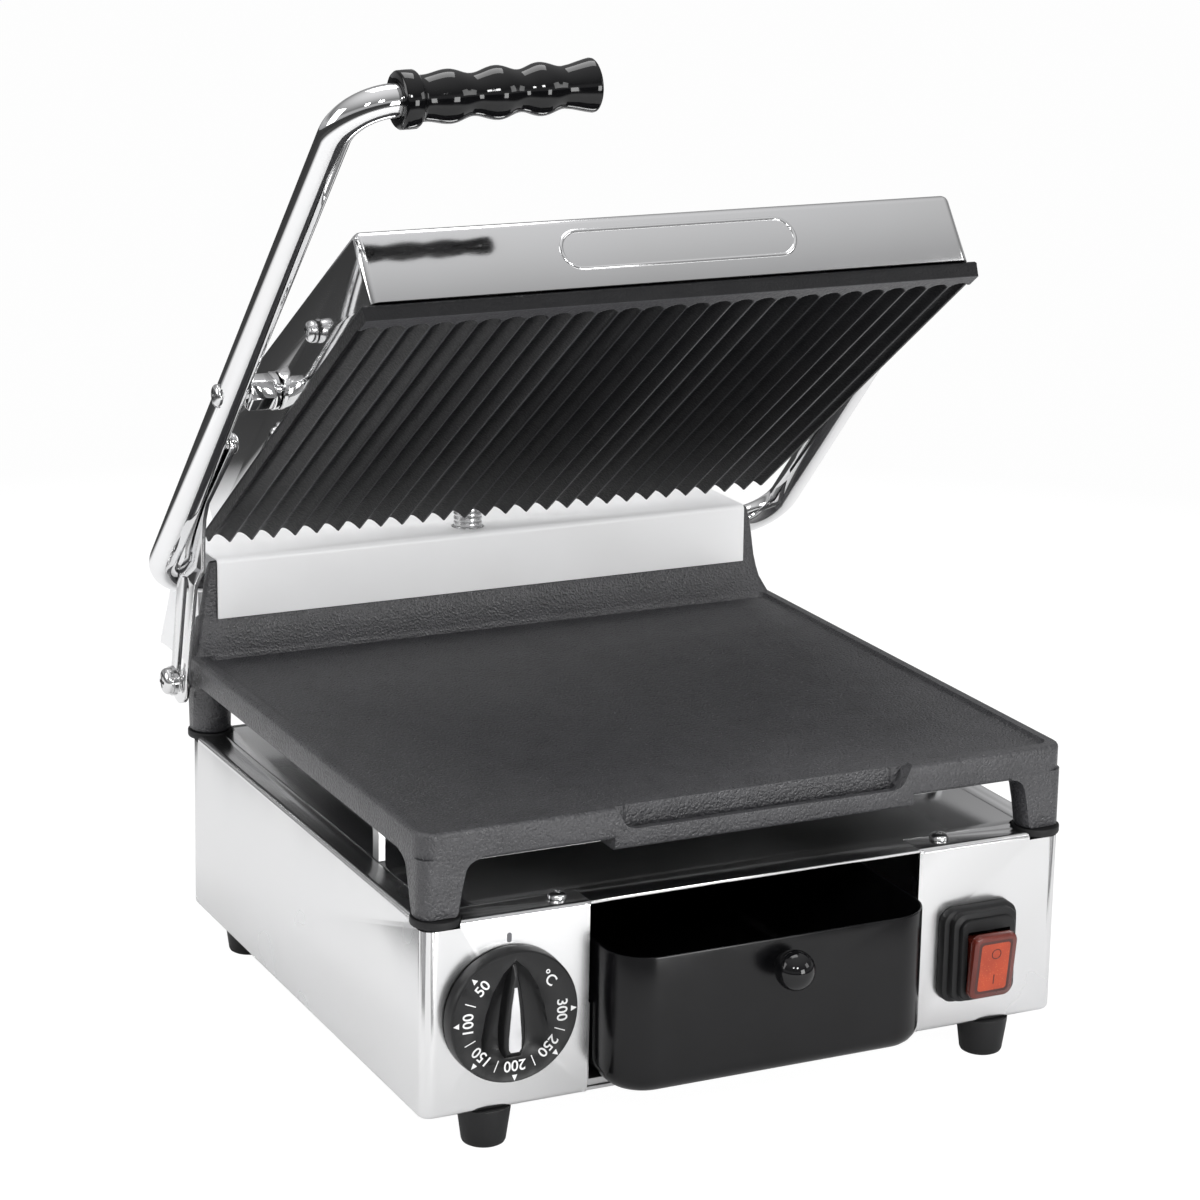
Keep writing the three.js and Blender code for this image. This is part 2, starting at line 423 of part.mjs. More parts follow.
// ---- hood pivots ----
for (const [name, s] of [['left', -1], ['right', 1]]) {
  const m = (q) => (s < 0 ? q : q.mirror([1, 0, 0]));
  piece(`pivot_bolt_${name}`, m(add(
    cyl('x', [0, PIV_Y, PIV_Z], 3, 3, -184.5, -146.5, 14),
    lathe('x', [0, PIV_Y, PIV_Z], [[0, -186.2], [3.2, -186], [4.8, -185], [5.3, -183.5], [0, -183.5]], 16),
    cyl('x', [0, PIV_Y, PIV_Z], 5.6, 5.6, -151, -147, 6))), ZINC);
  piece(`pivot_spacer_${name}`, m(cut(add(
    cyl('x', [0, PIV_Y, PIV_Z], 8.8, 8.8, -169.8, -157.6, 6),
    cyl('x', [0, PIV_Y, PIV_Z], 9.2, 9.2, -157.6, -154.9, 20)),
  cyl('x', [0, PIV_Y, PIV_Z], 3.3, 3.3, -172, -150, 14))), ZINC);
}
piece('link_screw', add(
  cyl('x', [0, LK_Y, LK_Z], 2.5, 2.5, -174.5, -166.4, 12),
  lathe('x', [0, LK_Y, LK_Z], [[0, -167], [5.1, -167], [4.8, -165.2], [3, -163.8], [0, -163.5]], 16)), ZINC);

// ---- slotted link ----
const LINK_W = 24;
function capsulePath(a, b, w) {
  const dx = b[0] - a[0], dy = b[1] - a[1], t = Math.atan2(dy, dx), pts = [];
  for (const [c, t0] of [[b, t - Math.PI / 2], [a, t + Math.PI / 2]]) {
    for (let i = 0; i <= 8; i++) {
      const q = t0 + Math.PI * i / 8;
      pts.push([c[0] + w / 2 * Math.cos(q), c[1] + w / 2 * Math.sin(q)]);
    }
  }
  return pts;
}
// the straight slot sits 1.1 off the screw, so that the screw crosses it evenly as the link swings
const SLOT = [[133.4, 192.1], [PIN_Y - 1.1, PIN_Z - 0.6]];
const linkBlank = add(
  cyl('x', [0, LK_Y, LK_Z], 7, 7, -180, -160),
  prism('x', [[LK_Y - 5.5, LK_Z - 4.4], [117.5, 240.5], [130, 246], [LK_Y + 5, LK_Z + 5]], -180, -160),
  prism('x', [[117, 241], [119, 236], [119.3, 207], [120.2, 192], [143.8, 192], [142.5, 214], [131, 245]], -180, -160),
  prism('x', capsulePath([132, 202], [PIN_Y, PIN_Z], LINK_W), -180, -160));
const joggle = prism('y', [[-167.4, 300], [-169.6, 300], [-169.6, 203], [-172.8, 195], [-172.8, 100],
  [-170.6, 100], [-170.6, 194.2], [-167.4, 202.2]], 20, 200);
piece('slotted_link', cut(
  linkBlank.intersect(joggle),
  prism('x', capsulePath(...SLOT, 8), -180, -165),
  cyl('x', [0, LK_Y, LK_Z], 2.8, 2.8, -180, -160, 12)), STEEL);

// ---- lid: modelled level about the hood pivot, then opened ----
const open = (solid) => solid.rotate([-LID_DEG, 0, 0]).translate([0, PIV_Y, PIV_Z]);
const top = (y) => 17.5 + (y - LID_Y0) / (LID_Y1 - LID_Y0) * 10.5;
const hoodRing = (inset, z) => ringZ(
  roundRect(-HOOD_X + inset, HOOD_X - inset, LID_Y0 + inset, LID_Y1 - inset, 4, 3), z);
const T = 1.2;
piece('hood', cut(open(cut(add(
  loft([
    hoodRing(5, (x, y) => top(y)), hoodRing(1.4, (x, y) => top(y) - 1.2), hoodRing(0, (x, y) => top(y) - 4.5),
    hoodRing(0, HOOD_BOT), hoodRing(T, HOOD_BOT), hoodRing(T, (x, y) => top(y) - 4.5),
    hoodRing(3, (x, y) => top(y) - T)]),
  cut(prism('y', roundRect(-56, 62, -9, 11, 9.9, 5), LID_Y0 - 0.8, LID_Y0 + 0.3),
    prism('y', roundRect(-53.5, 59.5, -6.5, 8.5, 7.4, 5), LID_Y0 - 3, LID_Y0))),
...[-1, 1].map((s) => cyl('x', [0, 0, 0], 3.3, 3.3, s < 0 ? -160 : 150, s < 0 ? -150 : 160, 14)),
...[-1, 1].map((s) => cyl('x', [0, -63, 0.8], 2.8, 2.8, s < 0 ? -160 : 150, s < 0 ? -150 : 160, 12)))),
cyl('z', [HOSE_X, HOSE_Y - 0.8, 0], 8.8, 8.8, 218, 250, 20)), STEEL);
const groove = (x) => {
  const g = new THREE.CapsuleGeometry(RIB_W / 2, LID_Y1 + 60 - (LID_Y0 + 11) - RIB_W / 2, 3, 10);
  g.translate(0, (LID_Y1 + 60 + LID_Y0 + 11) / 2, 0);
  const s = toSolid(g).scale([1, 1, 2 * RIB_DEPTH / RIB_W]);
  return s.translate([x, 0, RIB_Z]);
};
const plateRing = (x, y0, y1, r, z) => ringZ(roundRect(-x, x, y0, y1, r, 3), z);
piece('upper_plate', open(cut(add(
  loft([
    plateRing(PLATE_X - 2, LID_Y0 + 4.5, LID_Y1, 5, RIB_Z),
    plateRing(PLATE_X, LID_Y0 + 2.3, LID_Y1, 6, RIB_Z + 2.5),
    plateRing(PLATE_X, LID_Y0 + 1.2, LID_Y1, 6, PLATE_TOP - 1),
    plateRing(PLATE_X - 1, LID_Y0 + 1.7, LID_Y1, 5, PLATE_TOP)]),
  box(-150, 150, -128, 120, PLATE_TOP - 1, -13.5)),
...Array.from({ length: RIBS }, (_, i) => groove((i - (RIBS - 1) / 2) * RIB_PITCH)))), CAST);
piece('upper_element', open(tube([
  [-30, 60, -4], [-30, 75, -9.3], [-110, 75, -9.3], [-110, -110, -9.3], [-55, -110, -9.3], [-55, 40, -9.3],
  [0, 40, -9.3], [0, -110, -9.3], [55, -110, -9.3], [55, 40, -9.3], [110, 40, -9.3], [110, 75, -9.3],
  [30, 75, -9.3], [30, 60, -4]], [6, 14, 18, 18, 18, 18, 18, 18, 18, 18, 14, 14, 6], 3.2, 8, 30)), 0x6a5a50);
piece('upper_clamp', open(cut(add(
  box(-130, 130, -122, 30, -5.6, -4.4),
  ...[[-82, -80], [82, -80], [-82, 10], [82, 10], [-27, -30], [27, -30]].map(
    ([x, y]) => cyl('z', [x, y, 0], 4, 4, -12.7, -5, 10))))), ZINC);
for (const [name, s] of [['left', -1], ['right', 1]]) {
  const m = (q) => (s < 0 ? q : q.mirror([1, 0, 0]));
  piece(`hood_screw_${name}`, m(open(add(
    cyl('x', [0, -63, 0.8], 2.5, 2.5, -155.2, -146, 12),
    lathe('x', [0, -63, 0.8], [
      [0, -159.4], [2.6, -159], [4.6, -157.4], [5.2, -155.2], [5.2, -154.8], [0, -154.8]], 16)))), ZINC);
}

export default group;
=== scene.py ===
"""A countertop contact grill with its lid open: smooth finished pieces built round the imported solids."""

import math

import bpy
from mathutils import Matrix, Vector


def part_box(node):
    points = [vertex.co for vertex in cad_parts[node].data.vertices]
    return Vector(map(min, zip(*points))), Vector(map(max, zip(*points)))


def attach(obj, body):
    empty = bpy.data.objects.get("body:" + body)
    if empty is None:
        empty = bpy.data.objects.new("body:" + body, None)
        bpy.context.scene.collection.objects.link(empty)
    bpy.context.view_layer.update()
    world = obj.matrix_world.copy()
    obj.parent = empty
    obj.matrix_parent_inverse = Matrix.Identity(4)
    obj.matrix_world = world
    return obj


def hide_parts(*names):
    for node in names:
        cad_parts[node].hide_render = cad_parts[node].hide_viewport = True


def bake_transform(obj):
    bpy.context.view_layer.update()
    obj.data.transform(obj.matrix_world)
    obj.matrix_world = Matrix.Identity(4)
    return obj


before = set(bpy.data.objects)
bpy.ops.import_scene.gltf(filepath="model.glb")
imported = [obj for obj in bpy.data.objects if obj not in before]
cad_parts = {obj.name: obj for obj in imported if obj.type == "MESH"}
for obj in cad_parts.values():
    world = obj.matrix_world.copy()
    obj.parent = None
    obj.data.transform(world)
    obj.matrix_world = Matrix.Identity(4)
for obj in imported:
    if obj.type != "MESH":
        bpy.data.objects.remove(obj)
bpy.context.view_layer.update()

# ---------------------------------------------------------------- sizes, in mm, as the solids have them
SHIFT_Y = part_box("shell_left")[0].y * 1000 + 150       # the model's origin is under its middle
W, D, BOX_Z0, BOX_Z1 = 330, 300, 18, 110
BEND, SHEET = 6, 1.5
BAY_X0, BAY_X1 = -84, 87
LEG_X, LEG_YF, LEG_YR = 155.7, -141.4, 147
CAST_Z0, CAST_Z1, CAST_FLOOR = 136.5, 151.3, 149
TROUGH_X0, TROUGH_X1 = -64, 75
HINGE = (167.5, 184.9)
TUBE_R, ARM_X, ARM_DEG, ARM_LEN, GRIP_RISE = 7.5, 177.6, 47.12, 379, 1.75
PIVOT_S, LINK_S = 165.5, 123
LID_DEG, HOOD_X, PLATE_X = 36.5, 154.5, 159
LID_Y0, LID_Y1 = -132.5, 126.5
RIB_Z, RIB_PITCH, RIBS, RIB_DEPTH = -26.5, 11.74, 27, 4.8
TRAY_X, TRAY_Y0, TRAY_Y1, TRAY_Z0, TRAY_Z1, BALL_Z = 81, -178, 100, 23.5, 90, 78
KNOB = (-124, 64.2)
KNOB_FACE = -158.3
SWITCH = (119.2, 55.8)
PIN = (147, 138.5)
HOSE_X, HOSE_Y = -6, 163


def arm_point(s):
    a = math.radians(ARM_DEG)
    return HINGE[0] - s * math.cos(a), HINGE[1] + s * math.sin(a)


PIVOT = arm_point(PIVOT_S)
LINK_PIVOT = arm_point(LINK_S)
LID = Matrix.Translation((0, *PIVOT)) @ Matrix.Rotation(-math.radians(LID_DEG), 4, "X")
STAY = Matrix.Identity(4)


# ---------------------------------------------------------------- materials
def material(name, colour, metallic=0.0, roughness=0.5, **more):
    """A principled material with its node tree, shader and object coordinates to build on."""
    m = bpy.data.materials.new(name)
    m.use_nodes = True
    nodes = m.node_tree.nodes
    shader = nodes["Principled BSDF"]
    shader.inputs["Base Color"].default_value = (*colour, 1)
    shader.inputs["Metallic"].default_value = metallic
    shader.inputs["Roughness"].default_value = roughness
    for key, value in more.items():
        shader.inputs[key.replace("_", " ")].default_value = value
    coords = nodes.new("ShaderNodeTexCoord")
    m["coords"] = coords.name
    return m


def node(m, kind, **inputs):
    n = m.node_tree.nodes.new(kind)
    for key, value in inputs.items():
        n.inputs[key].default_value = value
    return n


def join(m, a, b):
    m.node_tree.links.new(a, b)


def noise(m, scale, detail=2.0, stretch=(1, 1, 1)):
    """Noise over the object's own coordinates; stretch squeezes it along an axis for grain."""
    mapping = node(m, "ShaderNodeMapping", Scale=stretch)
    join(m, m.node_tree.nodes[m["coords"]].outputs["Object"], mapping.inputs["Vector"])
    tex = node(m, "ShaderNodeTexNoise", Scale=scale, Detail=detail)
    join(m, mapping.outputs["Vector"], tex.inputs["Vector"])
    return tex.outputs["Fac"]


def spread(m, fac, low, high, start=0.0, end=1.0):
    n = node(m, "ShaderNodeMapRange")
    for key, value in (("From Min", start), ("From Max", end), ("To Min", low), ("To Max", high)):
        n.inputs[key].default_value = value
    join(m, fac, n.inputs["Value"])
    return n.outputs["Result"]


def tint(m, fac, dark, light, start=0.3, end=0.7):
    ramp = m.node_tree.nodes.new("ShaderNodeValToRGB")
    ramp.color_ramp.elements[0].position, ramp.color_ramp.elements[1].position = start, end
    ramp.color_ramp.elements[0].color = (*dark, 1)
    ramp.color_ramp.elements[1].color = (*light, 1)
    join(m, fac, ramp.inputs["Fac"])
    join(m, ramp.outputs["Color"], m.node_tree.nodes["Principled BSDF"].inputs["Base Color"])


def roughen(m, fac, low, high, start=0.3, end=0.7):
    join(m, spread(m, fac, low, high, start, end), m.node_tree.nodes["Principled BSDF"].inputs["Roughness"])


def bump(m, fac, strength, distance):
    n = node(m, "ShaderNodeBump", Strength=strength, Distance=distance)
    join(m, fac, n.inputs["Height"])
    shader = m.node_tree.nodes["Principled BSDF"]
    for link in shader.inputs["Normal"].links:
        join(m, link.from_socket, n.inputs["Normal"])
    join(m, n.outputs["Normal"], shader.inputs["Normal"])


def sheet_steel(name, roughness, grain=(1, 1, 1), tone=0.8, metallic=1.0):
    """Polished sheet: faint rolling grain, cloudy wipe marks and a barely uneven surface."""
    m = material(name, (tone, tone, tone), metallic, roughness)
    fine = noise(m, 900, 2, grain)
    cloud = noise(m, 14, 3)
    roughen(m, cloud, roughness * 0.8, roughness * 1.5)
    tint(m, cloud, (tone * 0.97,) * 3, (tone, tone * 1.003, tone * 1.01))
    bump(m, fine, 0.015, 0.0001)
    return m


def casting(name, dark, light, roughness, grain=0.6, gloss=0.5):
    """Coated iron casting: packed small pebbles over broader sand-cast unevenness."""
    m = material(name, dark, 0.0, roughness, Specular_IOR_Level=gloss)
    pebbles = noise(m, 800, 3)
    patches = noise(m, 60, 4)
    tint(m, patches, dark, light)
    roughen(m, pebbles, roughness - 0.1, roughness + 0.12)
    bump(m, pebbles, grain, 0.0009)
    bump(m, patches, 0.12, 0.0015)
    return m


def ribbed_casting():
    """The grill plate: near black, with a painted highlight along the tops of its ribs, where a paler colour stands
    in for the thin lines of light they catch.
    """
    m = casting("ribbed_plate", (0.005, 0.005, 0.006), (0.009, 0.009, 0.010), 0.4, 0.3, 0.35)
    lean = math.radians(LID_DEG)
    normal = Vector((0, math.sin(lean), math.cos(lean)))
    crest = normal.dot(Vector((0, PIVOT[0] + SHIFT_Y, PIVOT[1]))) + RIB_Z
    depth = node(m, "ShaderNodeVectorMath")
    depth.operation = "DOT_PRODUCT"
    depth.inputs[1].default_value = normal
    join(m, m.node_tree.nodes[m["coords"]].outputs["Object"], depth.inputs[0])
    # The paler crest colour is a painted highlight: it stands in for the thin lines of light along the rib tops.
    painted_crest_highlight = spread(m, depth.outputs["Value"], 1, 0, (crest + 0.02) / 1000, (crest + 0.4) / 1000)
    mix = node(m, "ShaderNodeMix")
    mix.data_type = "RGBA"
    shader = m.node_tree.nodes["Principled BSDF"]
    join(m, painted_crest_highlight, mix.inputs["Factor"])
    join(m, shader.inputs["Base Color"].links[0].from_socket, mix.inputs[6])
    mix.inputs[7].default_value = (0.06, 0.06, 0.064, 1)
    join(m, mix.outputs[2], shader.inputs["Base Color"])
    return m


def moulded(name, colour, roughness, grain=0.05, coat=0.0, scale=1500, gloss=0.5):
    """Plastic, rubber or lacquer: slightly uneven shade and shine over a very fine grain."""
    m = material(name, colour, 0.0, roughness, Coat_Weight=coat, Coat_Roughness=0.03, Specular_IOR_Level=gloss)
    fine = noise(m, scale, 2)
    broad = noise(m, 45, 3)
    roughen(m, broad, roughness * 0.85, roughness * 1.25)
    tint(m, broad, tuple(c * 0.8 for c in colour), tuple(c * 1.25 for c in colour))
    bump(m, fine, grain, 0.0002)
    return m


STEEL = sheet_steel("polished_sheet", 0.07, (1, 40, 1))
STEEL_SIDE = sheet_steel("polished_side", 0.2, (1, 1, 40), 0.76)
# The rear cover's near-white, barely metallic tone is painted light: it stands in for the brightness the shaded
# polished cover shows.
STEEL_COVER_PAINTED_LIGHT = sheet_steel("satin_cover_painted_light", 0.4, (60, 1, 1), 0.95, 0.1)
STEEL_TOP = sheet_steel("top_sheet", 0.14, (40, 1, 1), 0.72)
STEEL_DULL = sheet_steel("inner_sheet", 0.34, (1, 30, 1), 0.45)
CHROME = sheet_steel("bright_chrome", 0.035, (1, 1, 1), 0.86)
ZINC = sheet_steel("zinc_fastener", 0.16, (1, 1, 1), 0.72)
IRON = casting("cast_plate", (0.026, 0.026, 0.029), (0.040, 0.040, 0.044), 0.34, 0.9, 0.8)
IRON_RIB = ribbed_casting()
GRIP = moulded("grip_bakelite", (0.003, 0.003, 0.0035), 0.06, 0.01, 0.0, gloss=0.4)
KNOB_BLACK = moulded("knob_plastic", (0.007, 0.007, 0.0075), 0.36, 0.1, gloss=0.4)
RUBBER = moulded("rubber", (0.008, 0.008, 0.0085), 0.5, 0.25, gloss=0.35)
LACQUER = moulded("tray_lacquer", (0.003, 0.003, 0.0035), 0.2, 0.02, gloss=0.3)
PRINT = moulded("dial_print", (0.72, 0.72, 0.72), 0.5, 0.05)
INLAY = moulded("pointer_inlay", (0.62, 0.62, 0.63), 0.4, 0.05)
CERAMIC = moulded("terminal_ceramic", (0.7, 0.68, 0.62), 0.6, 0.1)
ELEMENT = moulded("element_sheath", (0.09, 0.075, 0.065), 0.5, 0.2)
MARK = moulded("etched_mark", (0.16, 0.16, 0.17), 0.5, 0.05)


def lamp_plastic():
    """Translucent red rocker with a brighter lit field and small sparkles in it."""
    m = material("rocker_lamp", (0.3, 0.03, 0.01), 0.0, 0.3)
    cloud = noise(m, 90, 3)
    tint(m, cloud, (0.17, 0.02, 0.008), (0.3, 0.04, 0.012))
    cells = node(m, "ShaderNodeTexVoronoi", Scale=900)
    join(m, m.node_tree.nodes[m["coords"]].outputs["Object"], cells.inputs["Vector"])
    ramp = m.node_tree.nodes.new("ShaderNodeValToRGB")
    ramp.color_ramp.elements[0].position, ramp.color_ramp.elements[1].position = 0.1, 0.24
    ramp.color_ramp.elements[0].color = (1.0, 0.35, 0.1, 1)
    ramp.color_ramp.elements[1].color = (0.55, 0.06, 0.012, 1)
    join(m, cells.outputs["Distance"], ramp.inputs["Fac"])
    shader = m.node_tree.nodes["Principled BSDF"]
    join(m, ramp.outputs["Color"], shader.inputs["Emission Color"])
    shader.inputs["Emission Strength"].default_value = 0.35
    return m


LAMP = lamp_plastic()
LAMP_RIM = moulded("rocker_rim", (0.11, 0.016, 0.010), 0.2, 0.02, 0.2)
LAMP_LINE = moulded("rocker_line", (0.06, 0.015, 0.012), 0.4, 0.02)


# ---------------------------------------------------------------- making pieces
def pick(o):
    bpy.ops.object.select_all(action="DESELECT")
    o.select_set(True)
    bpy.context.view_layer.objects.active = o
    return o


def start(name, points, edges=(), faces=()):
    mesh = bpy.data.meshes.new(name)
    mesh.from_pydata([Vector(p) for p in points], list(edges), list(faces))
    mesh.update()
    o = bpy.data.objects.new(name, mesh)
    bpy.context.scene.collection.objects.link(o)
    return pick(o)


def edit(o, *steps):
    """Runs edit-mode steps on the whole mesh, then leaves edit mode."""
    pick(o)
    bpy.ops.object.mode_set(mode="EDIT")
    bpy.ops.mesh.select_all(action="SELECT")
    for step in steps:
        step()
    bpy.ops.object.mode_set(mode="OBJECT")
    return o


def tidy():
    bpy.ops.mesh.select_all(action="SELECT")
    bpy.ops.mesh.remove_doubles(threshold=0.001)
    bpy.ops.mesh.normals_make_consistent(inside=False)


def modify(o, kind, **settings):
    pick(o)
    m = o.modifiers.new(kind, kind)
    for key, value in settings.items():
        setattr(m, key, value)
    bpy.ops.object.modifier_apply(modifier=m.name)
    return o


def soften(o, width, segments=3, angle=40):
    return modify(o, "BEVEL", width=width, segments=segments, limit_method="ANGLE",
                  angle_limit=math.radians(angle), use_clamp_overlap=True)


def combine(o, operation, tool):
    modify(o, "BOOLEAN", operation=operation, object=tool, solver="EXACT")
    bpy.data.objects.remove(tool)


def carve(o, *tools):
    for tool in tools:
        combine(o, "DIFFERENCE", tool)
    return o


def fuse(o, *others):
    """Joins separate shapes into one piece."""
    bpy.ops.object.select_all(action="DESELECT")
    for other in others:
        other.select_set(True)
    o.select_set(True)
    bpy.context.view_layer.objects.active = o
    bpy.ops.object.join()
    return o


def done(o, body, finish, slot, *stands_for, place=STAY, angle=35):
    """Settles a piece modelled in mm: shading, metres, its place, its body and what it stands for."""
    pick(o)
    bpy.ops.object.shade_smooth_by_angle(angle=math.radians(angle))
    scale = Matrix.Diagonal((0.001, 0.001, 0.001, 1))
    o.data.transform(scale @ Matrix.Translation((0, SHIFT_Y, 0)) @ place @ o.matrix_world)
    o.matrix_world = STAY
    o.data.materials.clear()
    for m in finish if isinstance(finish, (list, tuple)) else [finish]:
        o.data.materials.append(m)
    if body:
        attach(o, body)
    if stands_for:
        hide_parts(*stands_for)
    return o


def arc(cx, cy, r, a0, a1, n=6):
    return [(cx + r * math.cos(math.radians(a0 + (a1 - a0) * i / n)),
             cy + r * math.sin(math.radians(a0 + (a1 - a0) * i / n))) for i in range(n + 1)]


def rounded(x0, x1, y0, y1, r, n=6):
    return (arc(x1 - r, y0 + r, r, -90, 0, n) + arc(x1 - r, y1 - r, r, 0, 90, n)
            + arc(x0 + r, y1 - r, r, 90, 180, n) + arc(x0 + r, y0 + r, r, 180, 270, n))


def stadium(a, b, w, n=10):
    t = math.degrees(math.atan2(b[1] - a[1], b[0] - a[0]))
    return arc(*b, w / 2, t - 90, t + 90, n) + arc(*a, w / 2, t + 90, t + 270, n)


AXES = {"x": lambda u, v, t: (t, u, v), "y": lambda u, v, t: (u, t, v), "z": lambda u, v, t: (u, v, t)}


def plate(name, outline, axis, a, b):
    """A flat outline pulled along an axis from a to b."""
    o = start(name, [AXES[axis](u, v, a) for u, v in outline], faces=[range(len(outline))])
    move = Vector(AXES[axis](0, 0, b - a))
    return edit(o, lambda: bpy.ops.mesh.extrude_region_move(TRANSFORM_OT_translate={"value": move}), tidy)


def block(name, x0, x1, y0, y1, z0, z1):
    bpy.ops.mesh.primitive_cube_add(size=1, location=((x0 + x1) / 2, (y0 + y1) / 2, (z0 + z1) / 2),
                                    scale=(x1 - x0, y1 - y0, z1 - z0))
    o = bpy.context.object
    o.name = name
    bpy.ops.object.transform_apply(location=True, rotation=True, scale=True)
    return pick(o)


def turned(name, axis, centre, profile, steps=48):
    """A profile of (radius, place along the axis) spun into a round piece."""
    across = {"x": (0, 1, 0), "y": (1, 0, 0), "z": (1, 0, 0)}[axis]
    along = {"x": (1, 0, 0), "y": (0, 1, 0), "z": (0, 0, 1)}[axis]
    c = Vector(centre)
    points = [c + Vector(across) * r + Vector(along) * t for r, t in profile]
    o = start(name, points, edges=[(i, i + 1) for i in range(len(points) - 1)])
    return edit(o, lambda: bpy.ops.mesh.spin(steps=steps, angle=2 * math.pi, center=c, axis=along), tidy)


def rod(name, axis, centre, r, a, b, steps=24):
    return turned(name, axis, centre, [(0, a), (r, a), (r, b), (0, b)], steps)


def fillet(r, *angles):
    """A rounded corner's (inset, height) points, from the foot of the curve at 0 to the wall at 90 degrees."""
    return [(r * (1 - math.sin(math.radians(a))), r * (1 - math.cos(math.radians(a)))) for a in angles]


def bent_line(points, radii, step=7):
    """Straight runs joined by round bends, as a list of points."""
    p = [Vector(q) for q in points]
    out = [p[0]]
    for a, b, c, r in zip(p, p[1:], p[2:], radii):
        d0, d1 = (a - b).normalized(), (c - b).normalized()
        half = d0.angle(d1) / 2
        centre = b + (d0 + d1).normalized() * (r / math.sin(half))
        s, e = b + d0 * (r / math.tan(half)) - centre, b + d1 * (r / math.tan(half)) - centre
        turn = s.angle(e)
        n = max(3, round(math.degrees(turn) / step))
        out += [centre + (s * math.sin((1 - i / n) * turn) + e * math.sin(i / n * turn)) / math.sin(turn)
                for i in range(n + 1)]
    return out + [p[-1]]


def pipe(name, points, r, closed=False, rings=6, caps=True):
    """A round bar or wire along a line of points."""
    curve = bpy.data.curves.new(name, "CURVE")
    curve.dimensions = "3D"
    curve.bevel_depth, curve.bevel_resolution, curve.use_fill_caps = r, rings, caps
    spline = curve.splines.new("POLY")
    spline.points.add(len(points) - 1)
    for q, p in zip(spline.points, points):
        q.co = (*p, 1)
    spline.use_cyclic_u = closed
    o = bpy.data.objects.new(name, curve)
    bpy.context.scene.collection.objects.link(o)
    pick(o)
    bpy.ops.object.convert(target="MESH")
    return edit(bpy.context.object, tidy)


def lofted(name, rings, closed=False):
    """Equal rings of points bridged into a closed body."""
    n = len(rings[0])
    faces = [(k * n + i, k * n + (i + 1) % n, (k + 1) * n + (i + 1) % n, (k + 1) * n + i)
             for k in range(len(rings) - 1) for i in range(n)]
    faces += [tuple(range(n)), tuple((len(rings) - 1) * n + i for i in range(n))]
    return edit(start(name, [p for ring in rings for p in ring], faces=faces), tidy)


def cross_recess(centre, axis, size, depth):
    """The tool that cuts a cross slot in a screw head; axis is 'x' or 'z', depth signed."""
    bars = []
    for wide, tall in ((size, size * 0.26), (size * 0.26, size)):
        lo = [c - h / 2 for c, h in zip(centre, (0, wide, tall) if axis == "x" else (wide, tall, 0))]
        hi = [c + h / 2 for c, h in zip(centre, (0, wide, tall) if axis == "x" else (wide, tall, 0))]
        k = 0 if axis == "x" else 2
        lo[k], hi[k] = centre[k] - abs(depth), centre[k] + abs(depth)
        bars.append(block("recess", lo[0], hi[0], lo[1], hi[1], lo[2], hi[2]))
    return bars


def dome(r, h, at, way, n=7):
    """Profile of a pan head: flat seat at `at`, rounded crown h high towards `way`."""
    return [(0, at), (r, at), (r, at + way * h * 0.3)] + [
        (r * math.cos(math.radians(a)) ** 0.6, at + way * (h * 0.3 + h * 0.7 * math.sin(math.radians(a))))
        for a in [90 * i / n for i in range(1, n)]] + [(0, at + way * h)]


# ---------------------------------------------------------------- stage: camera, floor, light
LIGHTS = (("key", (-0.95, -1.35, 1.05), 0.22, 5), ("key_low", (-0.35, -1.6, 1.0), 0.22, 6),
          ("side", (-1.6, 0.4, 0.9), 0.9, 9), ("fill", (1.3, -1.1, 0.9), 0.6, 4),
          ("top", (0.1, 0.5, 1.9), 1.0, 12), ("low", (0.35, -1.5, 0.3), 0.5, 7))


def pale_floor():
    """A white sweep under the object: it ends about a metre out as the metal sees it, and is white to the eye."""
    m = material("pale_floor", (0.9, 0.9, 0.9), 0.0, 0.9)
    nodes = m.node_tree.nodes
    length = node(m, "ShaderNodeVectorMath")
    length.operation = "LENGTH"
    join(m, nodes[m["coords"]].outputs["Object"], length.inputs[0])
    tint(m, spread(m, length.outputs["Value"], 0, 1, 0, 2), (0.9, 0.9, 0.9), (0.03, 0.03, 0.03), 0.4, 0.56)
    white = node(m, "ShaderNodeEmission", Strength=1.09)
    white.inputs["Color"].default_value = (1, 1, 1, 1)
    mix = nodes.new("ShaderNodeMixShader")
    path = nodes.new("ShaderNodeLightPath")
    join(m, spread(m, path.outputs["Is Camera Ray"], 0, 0.9), mix.inputs["Fac"])
    join(m, nodes["Principled BSDF"].outputs["BSDF"], mix.inputs[1])
    join(m, white.outputs["Emission"], mix.inputs[2])
    join(m, mix.outputs["Shader"], nodes["Material Output"].inputs["Surface"])
    return m


